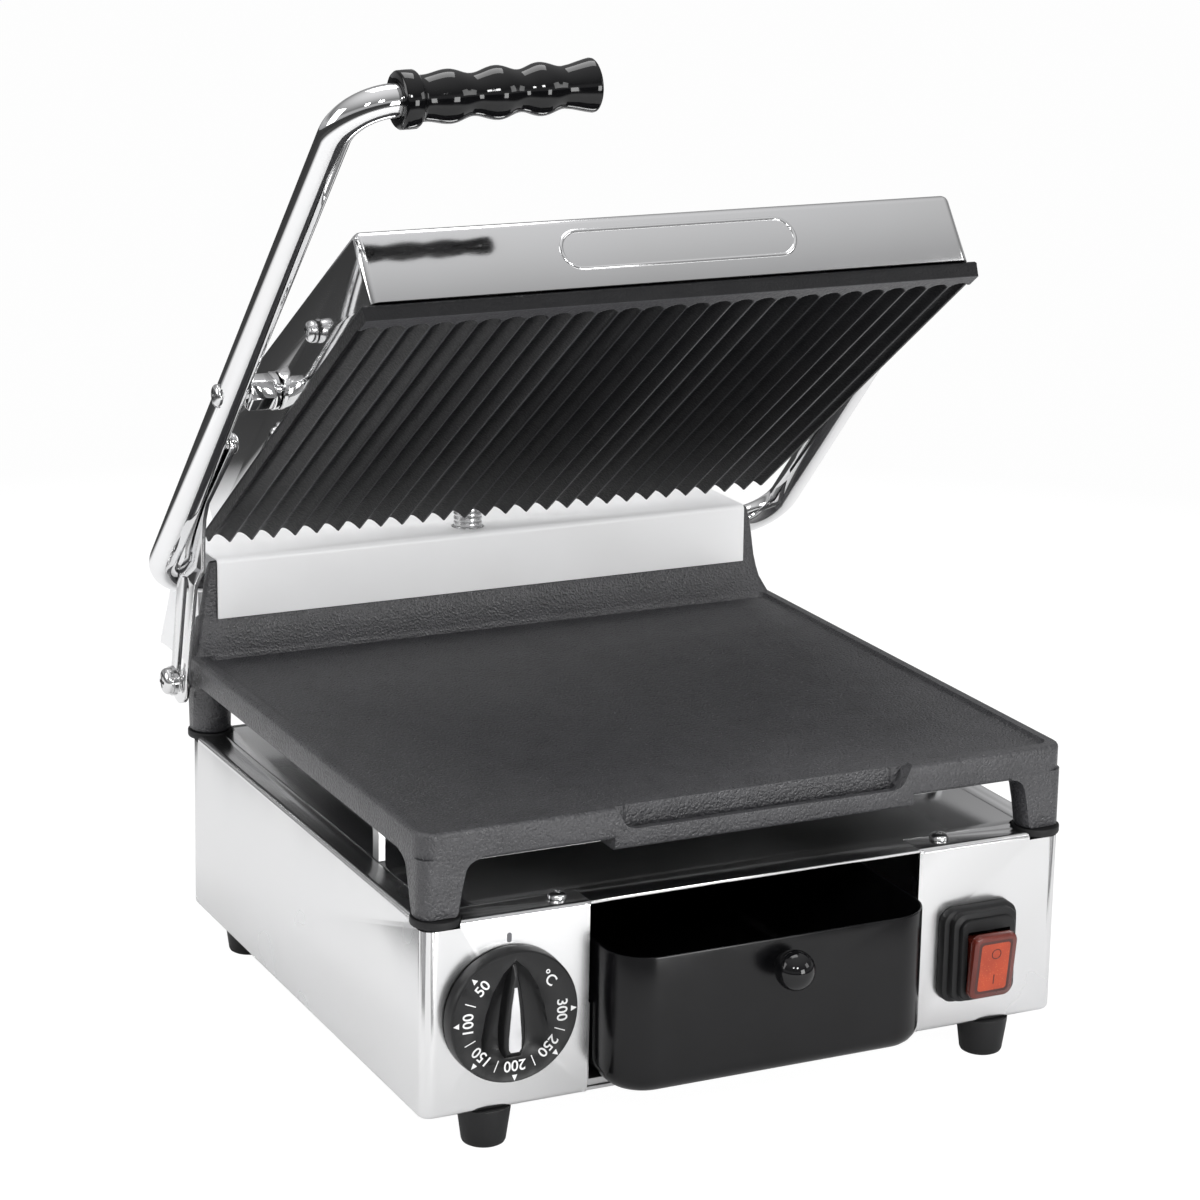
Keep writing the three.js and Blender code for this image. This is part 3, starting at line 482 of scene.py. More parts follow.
def stage():
    """A long lens from the front left, slightly above; pale floor; large soft lights."""
    az, el, roll = math.radians(-26.1), math.radians(13.8), math.radians(1.1)
    back = Vector((math.sin(az) * math.cos(el), -math.cos(az) * math.cos(el), math.sin(el)))
    right = Vector((math.cos(az), math.sin(az), 0))
    up = back.cross(right)
    r = right * math.cos(roll) + up * math.sin(roll)
    u = up * math.cos(roll) - right * math.sin(roll)
    eye = Vector((-0.0154, SHIFT_Y / 1000, 0.2653)) + back * 1.6953
    data = bpy.data.cameras.new("camera")
    data.lens, data.sensor_width = 105.85, 36
    data.shift_x, data.shift_y = 0.00925, -0.1049
    camera = bpy.data.objects.new("camera", data)
    camera.matrix_world = Matrix((
        (r.x, u.x, back.x, eye.x), (r.y, u.y, back.y, eye.y), (r.z, u.z, back.z, eye.z), (0, 0, 0, 1)))
    bpy.context.scene.collection.objects.link(camera)
    bpy.context.scene.camera = camera

    bpy.ops.mesh.primitive_plane_add(size=60, location=(0, 0, 0))
    floor = bpy.context.object
    floor.name = "floor"
    floor.data.materials.append(pale_floor())

    world = bpy.data.worlds.new("studio")
    bpy.context.scene.world = world
    world.use_nodes = True
    nodes, links = world.node_tree.nodes, world.node_tree.links
    coords = nodes.new("ShaderNodeTexCoord")
    parts = nodes.new("ShaderNodeSeparateXYZ")
    links.new(coords.outputs["Generated"], parts.inputs["Vector"])
    high = nodes.new("ShaderNodeValToRGB")                # dim near the horizon, brighter overhead
    ramp = high.color_ramp
    ramp.elements[0].position, ramp.elements[1].position = 0.0, 1.0
    ramp.elements[0].color, ramp.elements[1].color = (0.36, 0.36, 0.37, 1), (0.85, 0.85, 0.86, 1)
    for place, grey in ((0.14, 0.5), (0.3, 0.2), (0.55, 0.42)):
        ramp.elements.new(place).color = (grey, grey, grey * 1.01, 1)
    links.new(parts.outputs["Z"], high.inputs["Fac"])
    path = nodes.new("ShaderNodeLightPath")
    seen = nodes.new("ShaderNodeMix")
    seen.data_type = "RGBA"
    links.new(path.outputs["Is Camera Ray"], seen.inputs["Factor"])
    links.new(high.outputs["Color"], seen.inputs[6])
    seen.inputs[7].default_value = (1, 1, 1, 1)
    links.new(seen.outputs[2], nodes["Background"].inputs["Color"])
    nodes["Background"].inputs["Strength"].default_value = 1.0

    for name, place, size, power in LIGHTS:
        light = bpy.data.lights.new(name, "AREA")
        light.size, light.energy = size, power
        o = bpy.data.objects.new(name, light)
        o.location = place
        o.rotation_mode = "QUATERNION"
        o.rotation_quaternion = (Vector((0, 0, 0.2)) - Vector(place)).to_track_quat("-Z", "Y")
        bpy.context.scene.collection.objects.link(o)
    bpy.context.scene.view_settings.view_transform = "Standard"


# ---------------------------------------------------------------- base box
def corner_cups(grow=0.0):
    return [turned("cup_cut", "z", (sx * LEG_X, y, 0), [(0, BOX_Z1 - 3.5), (12 + grow, BOX_Z1 - 3.5),
            (12 + grow, BOX_Z1 + 3), (0, BOX_Z1 + 3)], 32) for sx in (-1, 1) for y in (LEG_YF, LEG_YR)]


def base_shells():
    """One bent sheet each side, wrapped round its front corner and flanged in at the top and rear."""
    for name, side in (("shell_left", -1), ("shell_right", 1)):
        x_bay = BAY_X0 if side < 0 else BAY_X1
        wall = plate(name, rounded(-W / 2, W / 2, -D / 2, D / 2, BEND, 8), "z", BOX_Z0, BOX_Z1)
        soften(wall, 2.4, 4, 60)
        inner = plate("inner", rounded(-W / 2 + SHEET, W / 2 - SHEET, -D / 2 + SHEET, D / 2 - SHEET, BEND - SHEET, 8),
                      "z", BOX_Z0 - 5, BOX_Z1 - SHEET)
        half = block("half", *((x_bay, 200) if side < 0 else (-200, x_bay)), -200, 200, 0, 200)
        carve(wall, inner, half,
              block("top", -152, 152, -135, 146, BOX_Z1 - 5, BOX_Z1 + 5),
              block("rear", -150, 150, 130, 160, 0, 130),
              *corner_cups(0))
        if side < 0:
            carve(wall, rod("shaft", "y", (KNOB[0], 0, KNOB[1]), 5, -160, -140))
        else:
            x, z = SWITCH
            carve(wall, block("switch_opening", x - 15, x + 15, -160, -140, z - 19, z + 19))
        soften(wall, 0.35, 2, 50)
        done(wall, "base", STEEL_SIDE, "polished_steel", name)
    for name, x, way in (("bay_lip_left", BAY_X0, 1), ("bay_lip_right", BAY_X1, -1)):
        lip = pipe(name, [(x - way * 1.4, -D / 2 + 1.2, z) for z in (BOX_Z0 + 0.6, BOX_Z1 - 0.8)], 1.2)
        done(lip, "base", STEEL, "polished_steel")


def top_and_rear():
    top = block("top_sheet", -151.7, 151.7, -134.7, 145.7, BOX_Z1 - SHEET, BOX_Z1)
    carve(top, *corner_cups(0.4), rod("grommet", "z", (0, 128, 0), 9, 100, 115))
    tab = block("tab", BAY_X0 + 0.3, BAY_X1 - 0.3, -D / 2, -134, BOX_Z1 - SHEET, BOX_Z1)
    combine(top, "UNION", tab)
    soften(top, 0.5, 2, 50)
    done(top, "base", STEEL_TOP, "polished_steel", "top_sheet")

    rear = block("rear_panel", -149.7, 149.7, D / 2 - SHEET, D / 2, 20.1, BOX_Z1 - 0.3)
    slots = [plate("louvre", stadium((x, 50), (x, 80), 4), "y", 140, 160) for x in range(-75, 60, 15)]
    carve(rear, *corner_cups(0.4), rod("entry", "y", (110, 0, 45), 8.3, 140, 160),
          *slots)
    soften(rear, 0.3, 2, 50)
    done(rear, "base", STEEL_DULL, "inner_steel", "rear_panel")


def feet_and_cups():
    for key, x, y in (("fl", -131, -141), ("fr", 131, -141), ("rl", -146, 118), ("rr", 146, 118)):
        foot = turned("foot_" + key, "z", (x, y, 0), [(0, 0.6), (4, 0.6), (4.6, 0), (8.8, 0), (9.7, 0.5), (10.2, 1.5)]
                      + [(10.2 + 2 * t, 1.5 + 14.5 * t) for t in (0.25, 0.5, 0.75)]
                      + [(12.2, 16.3), (12.2, 18), (2.9, 18), (2.9, 21.5), (5.5, 21.7), (5, 23.2), (0, 23.2)], 40)
        done(foot, "base", RUBBER, "rubber_black", "foot_" + key)
    for key, sx, y in (("fl", -1, LEG_YF), ("fr", 1, LEG_YF), ("rl", -1, LEG_YR), ("rr", 1, LEG_YR)):
        z = BOX_Z1
        cup = turned("leg_cup_" + key, "z", (sx * LEG_X, y, 0), [
            (0, z - 2.5), (10.6, z - 2.5), (11.2, z - 2.2), (11.4, z - 1.6), (11.4, z + 0.6), (11.3, z + 1),
            (11, z + 1.2), (10.8, z + 1), (0, z + 1)], 48)
        done(cup, "base", RUBBER, "rubber_black", "leg_cup_" + key)
    for name, x in (("top_screw_left", -96), ("top_screw_right", 103)):
        head = turned(name, "z", (x, -140, 0), dome(4.6, 2.7, BOX_Z1 + 0.3, 1), 32)
        carve(head, *cross_recess((x, -140, BOX_Z1 + 3.2), "z", 4.6, 1.3))
        done(head, "base", ZINC, "zinc", name)


# ---------------------------------------------------------------- lower plate
def lower_plate():
    """Cast slab with a raised rim, a drip trough in front, four tapered legs and a rear upstand."""
    def ring(x, y0, y1, r, z):
        return [(px, py, z) for px, py in rounded(-x, x, y0, y1, r, 6)]
    edge = fillet(2.2, 0, 22, 45, 68, 90)
    slab = lofted("lower_plate", [ring(166 - d, -148.5 + d, 158, 9 - d, CAST_Z0 + h) for d, h in edge]
                  + [ring(166 - d, -148.5 + d, 158, 9 - d, CAST_Z1 - h) for d, h in reversed(edge)])
    pan = lofted("pan", [ring(158.4, -141, 139, 4, CAST_FLOOR), ring(159.6, -142.2, 139.6, 5, CAST_FLOOR + 0.9),
                         ring(160.6, -143.2, 141, 6, CAST_Z1 + 0.5), ring(161, -143.5, 141, 6, CAST_Z1 + 5)])
    lip = plate("lip", [(-148.55, 146), (-130, 146), (-130, 131.2), (-146.6, 131.2), (-147.9, 131.7), (-148.55, 133)],
                "x", TROUGH_X0 - 7.5, TROUGH_X1 + 8)
    ends = [(TROUGH_X0 - 9.5, 160), (TROUGH_X0 - 7.4, 151.4), (TROUGH_X0 - 5.9, 149.7), (TROUGH_X0 - 4.6, 147.2),
            (TROUGH_X0 - 2.9, 143.6), (TROUGH_X0 - 1, 141.6), (TROUGH_X0 + 3, 140.5)]
    dip = plate("dip", ends + [(TROUGH_X1 + TROUGH_X0 - x, z) for x, z in reversed(ends)], "y", -156, -140.4)
    hollow = lofted("hollow", [
        [(px, py, z) for px, py in rounded(TROUGH_X0 - 0.5 + d, TROUGH_X1 + 0.5 - d,
                                           -145.2 + d / 3, -139.4 - d / 3, 2.4, 4)]
        for d, z in ((1.5, 134), (0.4, 134.6), (0, 136.5), (0, 160))])
    upstand = ((165, 137, 157.9, 140), (164.5, 140, 157.9, 150.5), (163.6, 141.6, 157.9, 152.6),
               (161.6, 146.4, 157.9, 158.5), (160.4, 148, 157.9, 164), (160, 149, 157.9, 167.5),
               (159.4, 149.2, 154, 170), (156, 149.2, 154, 192), (154.6, 149.4, 153.8, 196.6),
               (153.4, 150.4, 153, 197.4))
    rear = lofted("rear", [[(px, py, z) for px, py in rounded(-x, x, y0, y1, 2.4, 4)] for x, y0, y1, z in upstand])
    combine(slab, "UNION", lip)
    carve(slab, pan, dip, hollow,
          rod("drain", "z", (5, -142.4, 0), 2.2, 125, 150))
    soften(slab, 0.7, 3, 48)
    fuse(slab, rear, *[leg_shape(sx, y) for sx in (-1, 1) for y in (LEG_YF, LEG_YR)])
    done(slab, "base", IRON, "casting", "lower_plate", angle=42)


def leg_shape(sx, y):
    """A tapered leg that swells into the slab's corner, trimmed flush with the slab's sides."""
    top = 13.4 if y < 0 else 11
    leg = turned("leg", "z", (sx * LEG_X, y, 0), [
        (0, 111.4), (9.8, 111.4), (10.5, 112.2), (10.5 + (top - 10.5) * 0.5, 123), (top, 131), (top + 0.7, 133.2),
        (top + 2, 135), (top + 4.2, 136.4), (top + 7, 137.2), (top + 7, 139), (0, 139)], 64)
    trim = plate("trim", rounded(-165.9, 165.9, -148.4, 157.9, 6, 8), "z", 100, 160)
    combine(leg, "INTERSECT", trim)
    return leg


# ---------------------------------------------------------------- lid
def hood():
    """Bent sheet hood: sloping top, rounded folds, a plain raised bead on its front."""
    x, y0, y1, z0 = HOOD_X, LID_Y0, LID_Y1, -18.5
    top = [(-x, y0, 17.5), (x, y0, 17.5), (x, y1, 28), (-x, y1, 28)]
    low = [(px, py, z0) for px, py, _ in top]
    o = start("hood", low + top, faces=[(0, 1, 5, 4), (1, 2, 6, 5), (2, 3, 7, 6), (3, 0, 4, 7), (4, 5, 6, 7)])
    edit(o, tidy)
    soften(o, 4, 6, 60)
    modify(o, "SOLIDIFY", thickness=1.2, offset=-1)
    drills = [rod("bore", "x", (0, py, pz), r, -170, 170, 32)
              for py, pz, r in ((0, 0, 3.3), (-63, 0.8, 2.8))]
    hose = rod("hose_bore", "z", (0, 0, 0), 8.8, 20, 60, 32)
    hose.data.transform(LID.inverted() @ Matrix.Translation((HOSE_X, HOSE_Y - 0.8, 195)))
    carve(o, *drills, hose)
    soften(o, 0.3, 2, 60)
    done(o, "lid", STEEL, "polished_steel", "hood", place=LID)
    bead = pipe("hood_bead", [(u, y0 + 0.55, v) for u, v in stadium((-47, 0.5), (55, 0.5), 19, 14)], 1.15,
                closed=True)
    done(bead, "lid", STEEL, "polished_steel", place=LID)


def rib_height(x, y):
    """Underside of the ribbed plate: rounded grooves between narrow ridges, each ending in an arch."""
    phase = (x / RIB_PITCH + 0.5) % 1 - 0.5
    if abs(x) > RIB_PITCH * RIBS / 2:
        return 0.0
    half, end = RIB_PITCH * 0.46, LID_Y0 + 9.5
    run = end + half - y
    reach = 1 - min(1, max(0, run / half)) ** 2
    u = abs(phase) * RIB_PITCH / (half * math.sqrt(max(reach, 1e-6)))
    if run >= half or u >= 1:
        return 0.0
    return RIB_DEPTH * (math.cos(u * math.pi / 2) ** 0.9) * math.sqrt(max(reach, 0))


def upper_plate():
    """Cast plate whose underside is a fine grid raised into the grooves, closed by its edge band and back."""
    cols, rows = RIBS * 14, 30
    xs = [-PLATE_X + 2 + (2 * PLATE_X - 4) * i / cols for i in range(cols + 1)]
    near = [LID_Y0 + 3.5 + 13 * i / 16 for i in range(17)]
    ys = near + [near[-1] + (LID_Y1 - near[-1]) * (i + 1) / rows for i in range(rows)]
    points = [(x, y, RIB_Z + rib_height(x, y)) for y in ys for x in xs]
    n = len(xs)
    faces = [(j * n + i, (j + 1) * n + i, (j + 1) * n + i + 1, j * n + i + 1)
             for j in range(len(ys) - 1) for i in range(n - 1)]
    o = start("upper_plate", points, faces=faces)

    def band(grow, dy, z):
        """Pulls the open border outwards to a level, as the plate's rounded edge."""
        bpy.ops.mesh.extrude_edges_move()
        bpy.ops.object.mode_set(mode="OBJECT")
        for v in o.data.vertices:
            if v.select:
                v.co.x += grow * (1 if v.co.x > 0 else -1) * (abs(v.co.x) > PLATE_X - 6)
                v.co.y += dy * (v.co.y < LID_Y0 + 8)
                v.co.z = z if z is not None else v.co.z
        bpy.ops.object.mode_set(mode="EDIT")

    pick(o)
    bpy.ops.object.mode_set(mode="EDIT")
    bpy.ops.mesh.select_all(action="SELECT")
    bpy.ops.mesh.region_to_loop()
    for grow, dy, z in ((1.2, -1.0, None), (0.6, -0.6, RIB_Z + 5.4), (0.2, -0.2, -19.8), (-0.6, 0.5, -18.8)):
        band(grow, dy, z)
    bpy.ops.mesh.edge_face_add()
    bpy.ops.mesh.select_all(action="SELECT")
    tidy()
    bpy.ops.object.mode_set(mode="OBJECT")
    done(o, "lid", IRON_RIB, "casting", "upper_plate", place=LID, angle=50)


# ---------------------------------------------------------------- arm, grip, pivots
def arm():
    gy, gz = arm_point(ARM_LEN)
    ey, ez = arm_point(PIVOT_S + 14)
    rise = Matrix.Translation((-ARM_X, gy, gz)) @ Matrix.Rotation(math.radians(-GRIP_RISE), 4, "Y")
    line = bent_line([rise @ Vector((ARM_X - 70, 0, 0)), (-ARM_X, gy, gz), (-ARM_X, *HINGE), (ARM_X, *HINGE),
                      (ARM_X, ey, ez)], (22, 24, 24), 4)
    tube = pipe("arm_tube", line, TUBE_R, rings=14)
    flats = [rod("flat", "x", (0, *PIVOT), 6.2, a, b, 40)
             for a, b in ((-190, -183.2), (183.2, 190))]
    carve(tube, *flats)
    soften(tube, 0.5, 2, 60)
    done(tube, "arm", CHROME, "tube_chrome", "arm_tube", angle=50)

    swell = [(12.2, -154.5), (12.8, -153.7), (12.9, -150), (12.8, -147), (12.2, -146.2), (10.6, -145.4),
             (10.1, -143.6)]
    crests = ((-142.5, 10.1), (-130.5, 11.9), (-119.4, 9.3), (-107.6, 11.9), (-97, 9.3), (-87, 11.8), (-76, 9.3))
    for (xa, ra), (xb, rb) in zip(crests, crests[1:]):
        swell += [(ra + (rb - ra) * (1 - math.cos(math.pi * t / 7)) / 2, xa + (xb - xa) * t / 7) for t in range(1, 8)]
    swell += [(9.9, -72), (10.9, -68), (11.7, -64.6), (12.05, -62.6), (11.9, -61.9), (11.3, -61.5), (0, -61.4)]
    grip = turned("hand_grip", "x", (0, 0, 0), [(7.8, -66), (7.8, -154.5)] + swell, 64)
    done(grip, "arm", GRIP, "grip_black", "hand_grip", angle=60, place=rise @ Matrix.Translation((ARM_X, 0, 0)))


def hexagon(cy, cz, r, turn=30):
    return [(cy + r * math.cos(math.radians(60 * i + turn)), cz + r * math.sin(math.radians(60 * i + turn)))
            for i in range(6)]


def pivots():
    for key, s in (("left", -1), ("right", 1)):
        a = lambda x: s * x                               # noqa: E731  places measured outwards from the middle
        bolt = turned("pivot_bolt_" + key, "x", (0, *PIVOT), dome(5.3, 2.9, a(183.4), s), 40)
        carve(bolt, *cross_recess((a(186.6), *PIVOT), "x", 5.4, 1.5))
        shank = rod("shank", "x", (0, *PIVOT), 3, a(146.5), a(184))
        fuse(bolt, shank)
        done(bolt, "arm", ZINC, "zinc", "pivot_bolt_" + key)
        nut = plate("pivot_spacer_" + key, hexagon(*PIVOT, 8.8, 12), "x", a(157.6), a(169.7))
        soften(nut, 0.7, 3, 30)
        collar = turned("collar", "x", (0, *PIVOT), [
            (3.4, a(154.9)), (8.8, a(154.9)), (9.2, a(155.4)), (9.2, a(157.2)), (8.8, a(157.6)), (3.4, a(157.6))], 48)
        fuse(nut, collar)
        done(nut, "arm", CHROME, "zinc", "pivot_spacer_" + key)
        spot = (-63, 0.8)
        screw = turned("hood_screw_" + key, "x", (0, *spot), dome(5.2, 4.2, a(154.9), s), 40)
        carve(screw, *cross_recess((a(159.4), *spot), "x", 5.2, 1.8))
        done(screw, "lid", ZINC, "zinc", "hood_screw_" + key, place=LID)
    head = turned("link_screw", "x", (0, *LINK_PIVOT), dome(5.1, 3.4, -167, 1), 40)
    carve(head, *cross_recess((-163.4, *LINK_PIVOT), "x", 5, 1.5))
    fuse(head, rod("stem", "x", (0, *LINK_PIVOT), 2.5, -174, -166.8))
    done(head, "arm", ZINC, "zinc", "link_screw")
    stop = turned("guide_screw", "x", (0, *PIN), dome(6.8, 4.6, -176.9, -1), 40)
    carve(stop, *cross_recess((-181.7, *PIN), "x", 6.4, 2.2))
    washer = turned("washer", "x", (0, *PIN), [(2.6, -176.8), (7.6, -176.8), (7.6, -175), (2.6, -175)], 40)
    lock = turned("lock", "x", (0, *PIN), [
        (2.6, -174.9), (6.2, -174.9), (6.4, -174.2), (6.2, -173.6), (2.6, -173.6)], 40)
    seat = plate("seat", hexagon(*PIN, 6.2), "x", -169.9, -167)
    soften(seat, 0.4, 2, 30)
    stem = turned("stem", "x", (0, *PIN), [
        (0, -178), (2.5, -178), (2.5, -168.5), (3.2, -168.4), (3.2, -149), (0, -149)], 24)
    fuse(stop, washer, lock, seat, stem)
    done(stop, "base", ZINC, "zinc", "guide_screw")


def slotted_link():
    """Flat strap down the inside of the tube, stepped outwards where its slot begins."""
    py, pz = LINK_PIVOT
    outline = (arc(py, pz, 7, 43, 223, 8) + [(113, 238), (117.6, 229), (119.3, 218), (120.3, 200)]
               + arc(*PIN, 12, 167, 347, 14) + [(143.7, 204.8), (142.4, 216), (137, 229)])
    strap = plate("slotted_link", outline, "x", -180, -160)
    bend = plate("bend", [
        (-167.4, 300), (-169.6, 300), (-169.6, 203.4), (-169.8, 202.4), (-172.6, 195.6), (-172.8, 194.6),
        (-172.8, 100), (-170.6, 100), (-170.6, 194), (-170.4, 195), (-167.6, 201.8), (-167.4, 202.8)], "y", 20, 200)
    combine(strap, "INTERSECT", bend)
    carve(strap, plate("slot", stadium((133.4, 192.1), (PIN[0] - 1.1, PIN[1] - 0.6), 8), "x", -185, -160),
          rod("eye", "x", (0, py, pz), 2.8, -185, -160))
    soften(strap, 0.35, 2, 50)
    done(strap, "link", STEEL, "polished_steel", "slotted_link")


# ---------------------------------------------------------------- rear cover and conduit
def rear_cover():
    profile = ([(147, 168), (147.5, 196.6)] + arc(149.9, 196.9, 2.4, 180, 90, 5) + [(201, 199.3)]
               + arc(201.2, 195.6, 3.7, 88, 27, 4) + [(237.5, 131.5)])
    o = start("rear_cover", [(-151, y, z) for y, z in profile],
              edges=[(i, i + 1) for i in range(len(profile) - 1)])
    edit(o, lambda: bpy.ops.mesh.extrude_edges_move(TRANSFORM_OT_translate={"value": (302, 0, 0)}), tidy)
    if sum(p.normal.y * (p.center.y - 180) + p.normal.z for p in o.data.polygons) < 0:
        edit(o, bpy.ops.mesh.flip_normals)
    modify(o, "SOLIDIFY", thickness=1.2, offset=-1)
    ends = [plate("end", [(177, 198.4), (201, 198.4), (203.6, 197), (236.6, 131.7), (177, 131.7)], "x", *span)
            for span in ((-151, -149.8), (149.8, 151))]
    hole = rod("hole", "z", (HOSE_X, HOSE_Y, 0), 8.6, 190, 205, 40)
    carve(o, hole)
    soften(o, 0.4, 2, 60)
    fuse(o, *ends)
    # The cover's near-white finish is painted light.
    done(o, "base", STEEL_COVER_PAINTED_LIGHT, "polished_steel", "rear_cover", angle=30)


def conduit():
    """Wound metal hose, in two lengths, neither attached to a moving part."""
    def hose(name, z0, z1):
        profile = [(0, z0)]
        turns = round((z1 - z0) / 2.6)
        for k in range(turns):
            a = z0 + (z1 - z0) * k / turns
            p = (z1 - z0) / turns
            profile += [(7.0, a), (7.45, a + p * 0.22), (7.6, a + p * 0.5), (7.45, a + p * 0.78)]
        return turned(name, "z", (HOSE_X, HOSE_Y, 0), profile + [(7.0, z1), (0, z1)], 36)
    mid = 226
    low = done(hose("conduit_lower", 197, mid), None, ZINC, "zinc", "conduit", angle=20)
    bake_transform(low)
    high = done(hose("conduit_upper", mid, 240), None, ZINC, "zinc", angle=20)
    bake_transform(high)
    ring = turned("conduit_gland", "z", (HOSE_X, HOSE_Y, 0), [
        (7.9, 195.5), (7.9, 193.2), (8.9, 193.2), (8.9, 197.6), (7.9, 197.6), (7.9, 195.5)], 40)
    done(ring, "base", ZINC, "zinc", "conduit_gland")


# ---------------------------------------------------------------- tray
def drip_tray():
    """Deep drawn tray: round corners, filleted floor, rolled rim, ball knob on its front."""
    def ring(inset, z):
        x, r = TRAY_X - inset, max(20 - inset, 6)
        return [(px, py, z) for px, py in rounded(-x, x, TRAY_Y0 + inset, TRAY_Y1 - inset, r, 10)]
    z0, z1, wall = TRAY_Z0, TRAY_Z1, 1.4
    outer = [ring(d, z0 + h) for d, h in fillet(10, *range(0, 91, 15))]
    inner = [ring(wall + d, z0 + wall + h) for d, h in fillet(9, *range(90, -1, -15))]
    lip = [ring(0, z1 - 0.7), ring(0.2, z1 - 0.15), ring(0.7, z1), ring(1.2, z1 - 0.15), ring(1.4, z1 - 0.7)]
    tray = lofted("drip_tray", outer + lip + inner)
    carve(tray, rod("hole", "y", (0, 0, BALL_Z), 2.4, -182, -172))
    done(tray, "tray", LACQUER, "tray_black", "drip_tray", angle=50)
    ball = [(9.3 * math.sin(math.radians(a)), -188.5 - 9.3 * math.cos(math.radians(a))) for a in range(0, 142, 8)]
    neck = [(5.2, -180.6), (4.9, -179.4), (5.2, -178.4), (2.1, -178.3), (2.1, -176.4), (4.5, -176.3), (4.5, -173.6),
            (0, -173.5)]
    knob = turned("tray_knob", "y", (0, 0, BALL_Z), ball + neck, 48)
    done(knob, "tray", GRIP, "grip_black", "tray_knob", angle=50)


# ---------------------------------------------------------------- thermostat knob and dial
RECESS = [(0, 27), (6, 21.4), (11, 13), (14.4, 3), (16.4, -8), (16, -16), (12.4, -20.6), (6, -22.6), (0, -23)]
BAR = [(0.9, 27), (3, 18), (5, 6), (6.2, -6), (6, -16), (4.2, -21.5)]
POINTER = [(0.7, 14), (2, 4), (3.1, -10), (3, -15), (2, -16.5)]


def mirrored(half):
    return half + [(-x, z) for x, z in reversed(half) if x > 0]


def knob_loft(name, outline, *steps):
    """A form on the dial's face: its outline at each (size, depth behind the face)."""
    return lofted(name, [[(KNOB[0] + x * k, KNOB_FACE + depth, KNOB[1] + z * k) for x, z in mirrored(outline)]
                         for k, depth in steps])


def thermostat_knob():
    """Round dial with two scooped hollows that leave a finger bar, numbers round its face."""
    f = KNOB_FACE
    disc = turned("thermostat_knob", "y", (KNOB[0], 0, KNOB[1]), [
        (0, -152.2), (28, -152.2), (28, -150.6), (31.1, -150.6), (31.4, -151), (31.3, -153), (31.0, f + 1.2),
        (30.7, f + 0.4), (30.2, f), (0, f)], 96)
    carve(disc, knob_loft("scoop", RECESS, (0.55, 5), (0.74, 4.3), (0.9, 2.4), (1.0, 0), (1.06, -1.5)))
    bar = knob_loft("bar", BAR, (1.0, 5.2), (0.9, 2), (0.8, 0.3), (0.7, -0.3))
    combine(disc, "UNION", bar)
    soften(disc, 0.5, 3, 35)
    done(disc, "knob", KNOB_BLACK, "knob_black", "thermostat_knob", angle=50)
    inlay = knob_loft("knob_pointer", POINTER, (1.0, 0.4), (1.0, -0.35), (0.93, -0.6))
    done(inlay, "knob", INLAY, "pointer_white", "knob_pointer")

    prints = []
    for i, label in enumerate(("50", "100", "150", "200", "250", "300", "°C")):
        turn = math.radians(45 * (i + 1))                 # anticlockwise from the top, as seen from the front
        bpy.ops.object.text_add()
        text = bpy.context.object
        text.data.body, text.data.size, text.data.offset = label, 7.2, 0.07
        text.data.align_x, text.data.align_y = "CENTER", "CENTER"
        text.data.extrude = 0.06
        pick(text)
        bpy.ops.object.convert(target="MESH")
        text = bpy.context.object
        place = (Matrix.Translation((KNOB[0], f - 0.07, KNOB[1])) @ Matrix.Rotation(-turn, 4, "Y")
                 @ Matrix.Translation((0, 0, 22.6)) @ Matrix.Rotation(math.radians(90), 4, "X"))
        text.data.transform(place)
        prints.append(text)
        if label != "°C":
            tip, foot = 30, 27.2
            points = [(-1.3, foot), (1.3, foot), (0, tip)]
            tri = plate("mark", points, "y", f - 0.13, f - 0.01)
            tri.data.transform(Matrix.Translation((KNOB[0], 0, KNOB[1])) @ Matrix.Rotation(-turn, 4, "Y"))
            prints.append(tri)
        if i < 5:
            tick = block("tick", -0.22, 0.22, f - 0.13, f - 0.01, 20.8, 26.4)
            tick.data.transform(Matrix.Translation((KNOB[0], 0, KNOB[1]))
                                @ Matrix.Rotation(-turn - math.radians(22.5), 4, "Y"))
            prints.append(tick)
    for o in prints:
        o.data.materials.clear()
    done(fuse(*prints), "knob", PRINT, "pointer_white")
    bpy.context.object.name = "dial_print"
    index = plate("index_mark", stadium((KNOB[0] + 0.4, 97.6), (KNOB[0] + 0.4, 100), 2.2), "y", -150.15, -149.9)
    done(index, "base", MARK, "black_plastic")


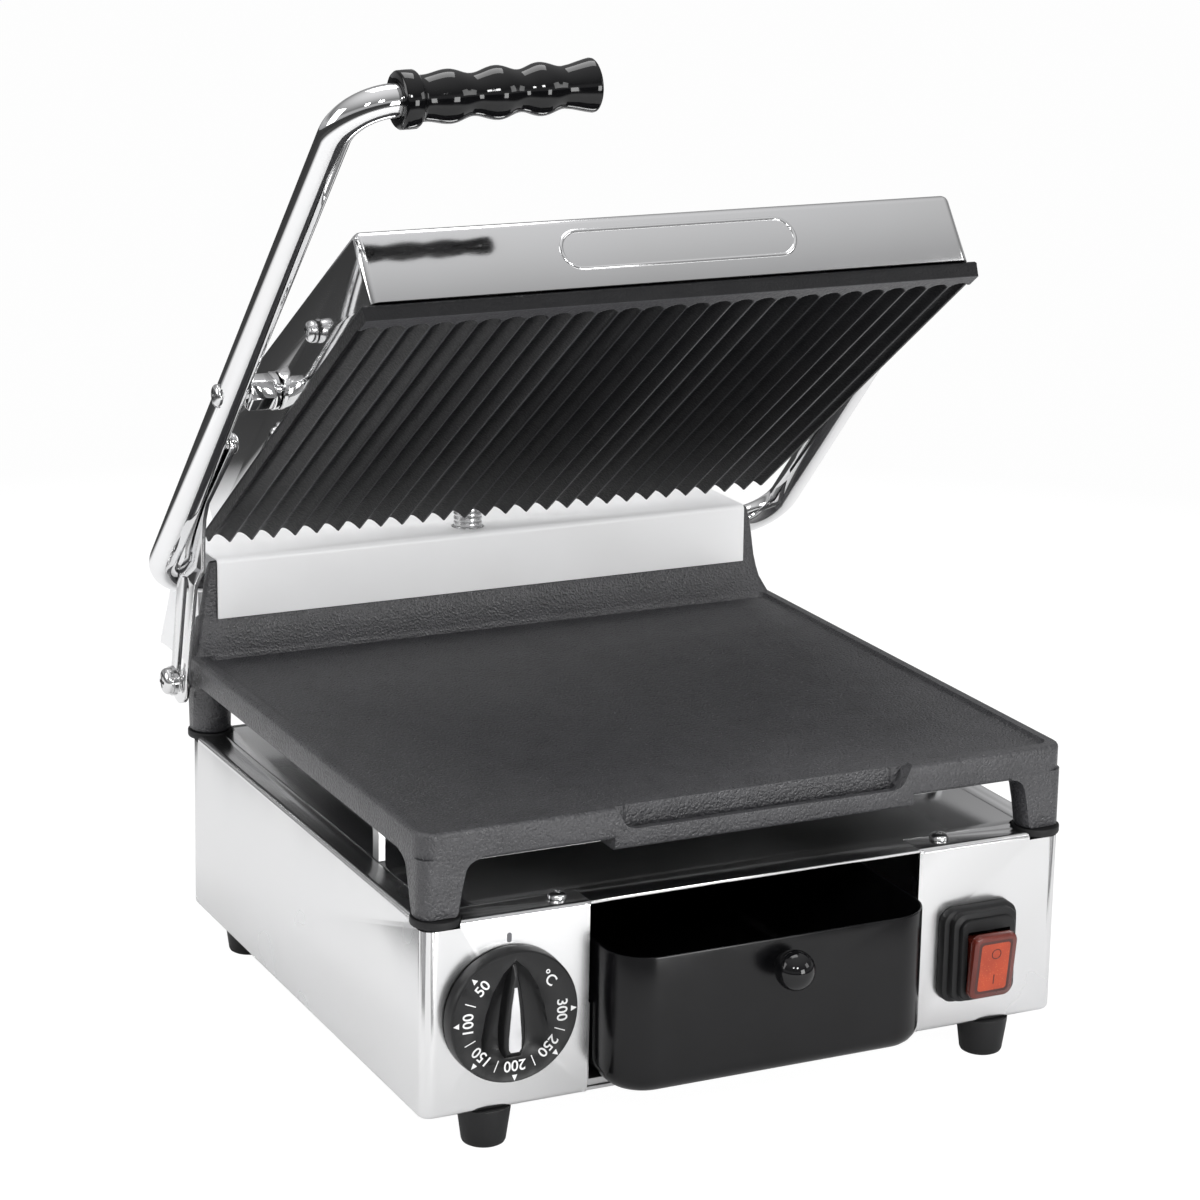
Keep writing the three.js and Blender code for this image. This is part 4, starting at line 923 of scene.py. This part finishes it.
# ---------------------------------------------------------------- switch
def switch():
    """Stepped rubber boot round a lit rocker that leans in at its foot."""
    sx, sz = SWITCH

    def ring(w, h, r, y, dz):
        return [(px, y, pz) for px, pz in rounded(sx - w / 2, sx + w / 2, sz + dz - h / 2, sz + dz + h / 2, r, 6)]
    boot = lofted("switch_boot", [
        ring(40.5, 46.5, 7, -150.3, 0), ring(40.5, 46.5, 7, -153.4, 0), ring(39.4, 45.6, 6.6, -154.5, 0),
        ring(36, 44, 6, -154.9, 0.2), ring(35.2, 43.6, 6, -155.3, 0.2), ring(35, 44, 6, -157.6, 0.2),
        ring(34, 43.2, 5.6, -158.7, 0.2), ring(30.6, 40.4, 5, -159.1, -0.2), ring(29.8, 39.8, 5, -159.5, -0.3),
        ring(29.4, 39.8, 5, -161.6, -0.3), ring(28.4, 38.8, 4.6, -162.2, -0.3)])
    carve(boot, block("well", sx - 11.5, sx + 11.5, -170, -149, sz - 16, sz + 14))
    done(boot, "base", RUBBER, "rubber_black", "switch_boot")

    lean = Matrix.Translation((sx - 0.4, -158.5, 54.8)) @ Matrix.Rotation(math.radians(7), 4, "X")

    def face(w, h, r, y):
        return [(px, y, pz) for px, pz in rounded(-w / 2, w / 2, -h / 2, h / 2, r, 6)]
    body = lofted("switch_rocker", [face(23.5, 32.6, 4, -6.4), face(23.5, 32.6, 4, -8.6), face(23.0, 32.1, 4, -9.4),
                                    face(21.8, 30.9, 3.4, -9.8)])
    stem = block("stem", -9, 9, -6.6, 5, -10, 10)
    fuse(body, stem)
    done(body, "rocker", LAMP_RIM, "rocker_red", "switch_rocker", place=lean)
    frame_line = lofted("rocker_frame", [face(18.4, 27.2, 2.2, -9.6), face(18.4, 27.2, 2.2, -9.86)])
    done(frame_line, "rocker", LAMP_LINE, "rocker_red", place=lean)
    field = lofted("rocker_field", [face(15.6, 24.4, 1.6, -9.7), face(15.6, 24.4, 1.6, -9.9)])
    done(field, "rocker", LAMP, "rocker_red", place=lean)
    ring_mark = pipe("rocker_off_mark", [(px, -9.9, pz) for px, pz in arc(0.6, 6.6, 2.4, 0, 345, 24)], 0.22,
                     closed=True, rings=2)
    bar_mark = block("rocker_on_mark", 0.35, 0.85, -10.02, -9.8, -9, -4.2)
    done(fuse(ring_mark, bar_mark), "rocker", LAMP_LINE, "rocker_red", place=lean)


# ---------------------------------------------------------------- what shows as it is in the solids
CARRIED = {
    "floor_plate": STEEL_DULL, "heat_shield": STEEL_DULL, "upper_clamp": STEEL_DULL, "tray_runner_left": STEEL_DULL,
    "tray_runner_right": STEEL_DULL, "tray_stop": STEEL_DULL, "lower_element": ELEMENT, "upper_element": ELEMENT,
    "hinge_block_left": ZINC, "hinge_block_right": ZINC, "hinge_spring_left": ZINC, "hinge_spring_right": ZINC,
    "thermostat_body": ZINC, "switch_body": KNOB_BLACK, "cable_gland": KNOB_BLACK, "terminal_block": CERAMIC,
    "wiring_loom": RUBBER,
}


def dress_carried():
    for name, finish in CARRIED.items():
        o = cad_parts[name]
        o.data.materials.clear()
        o.data.materials.append(finish)


stage()
base_shells()
top_and_rear()
feet_and_cups()
lower_plate()
hood()
upper_plate()
arm()
pivots()
slotted_link()
rear_cover()
conduit()
drip_tray()
thermostat_knob()
switch()
dress_carried()
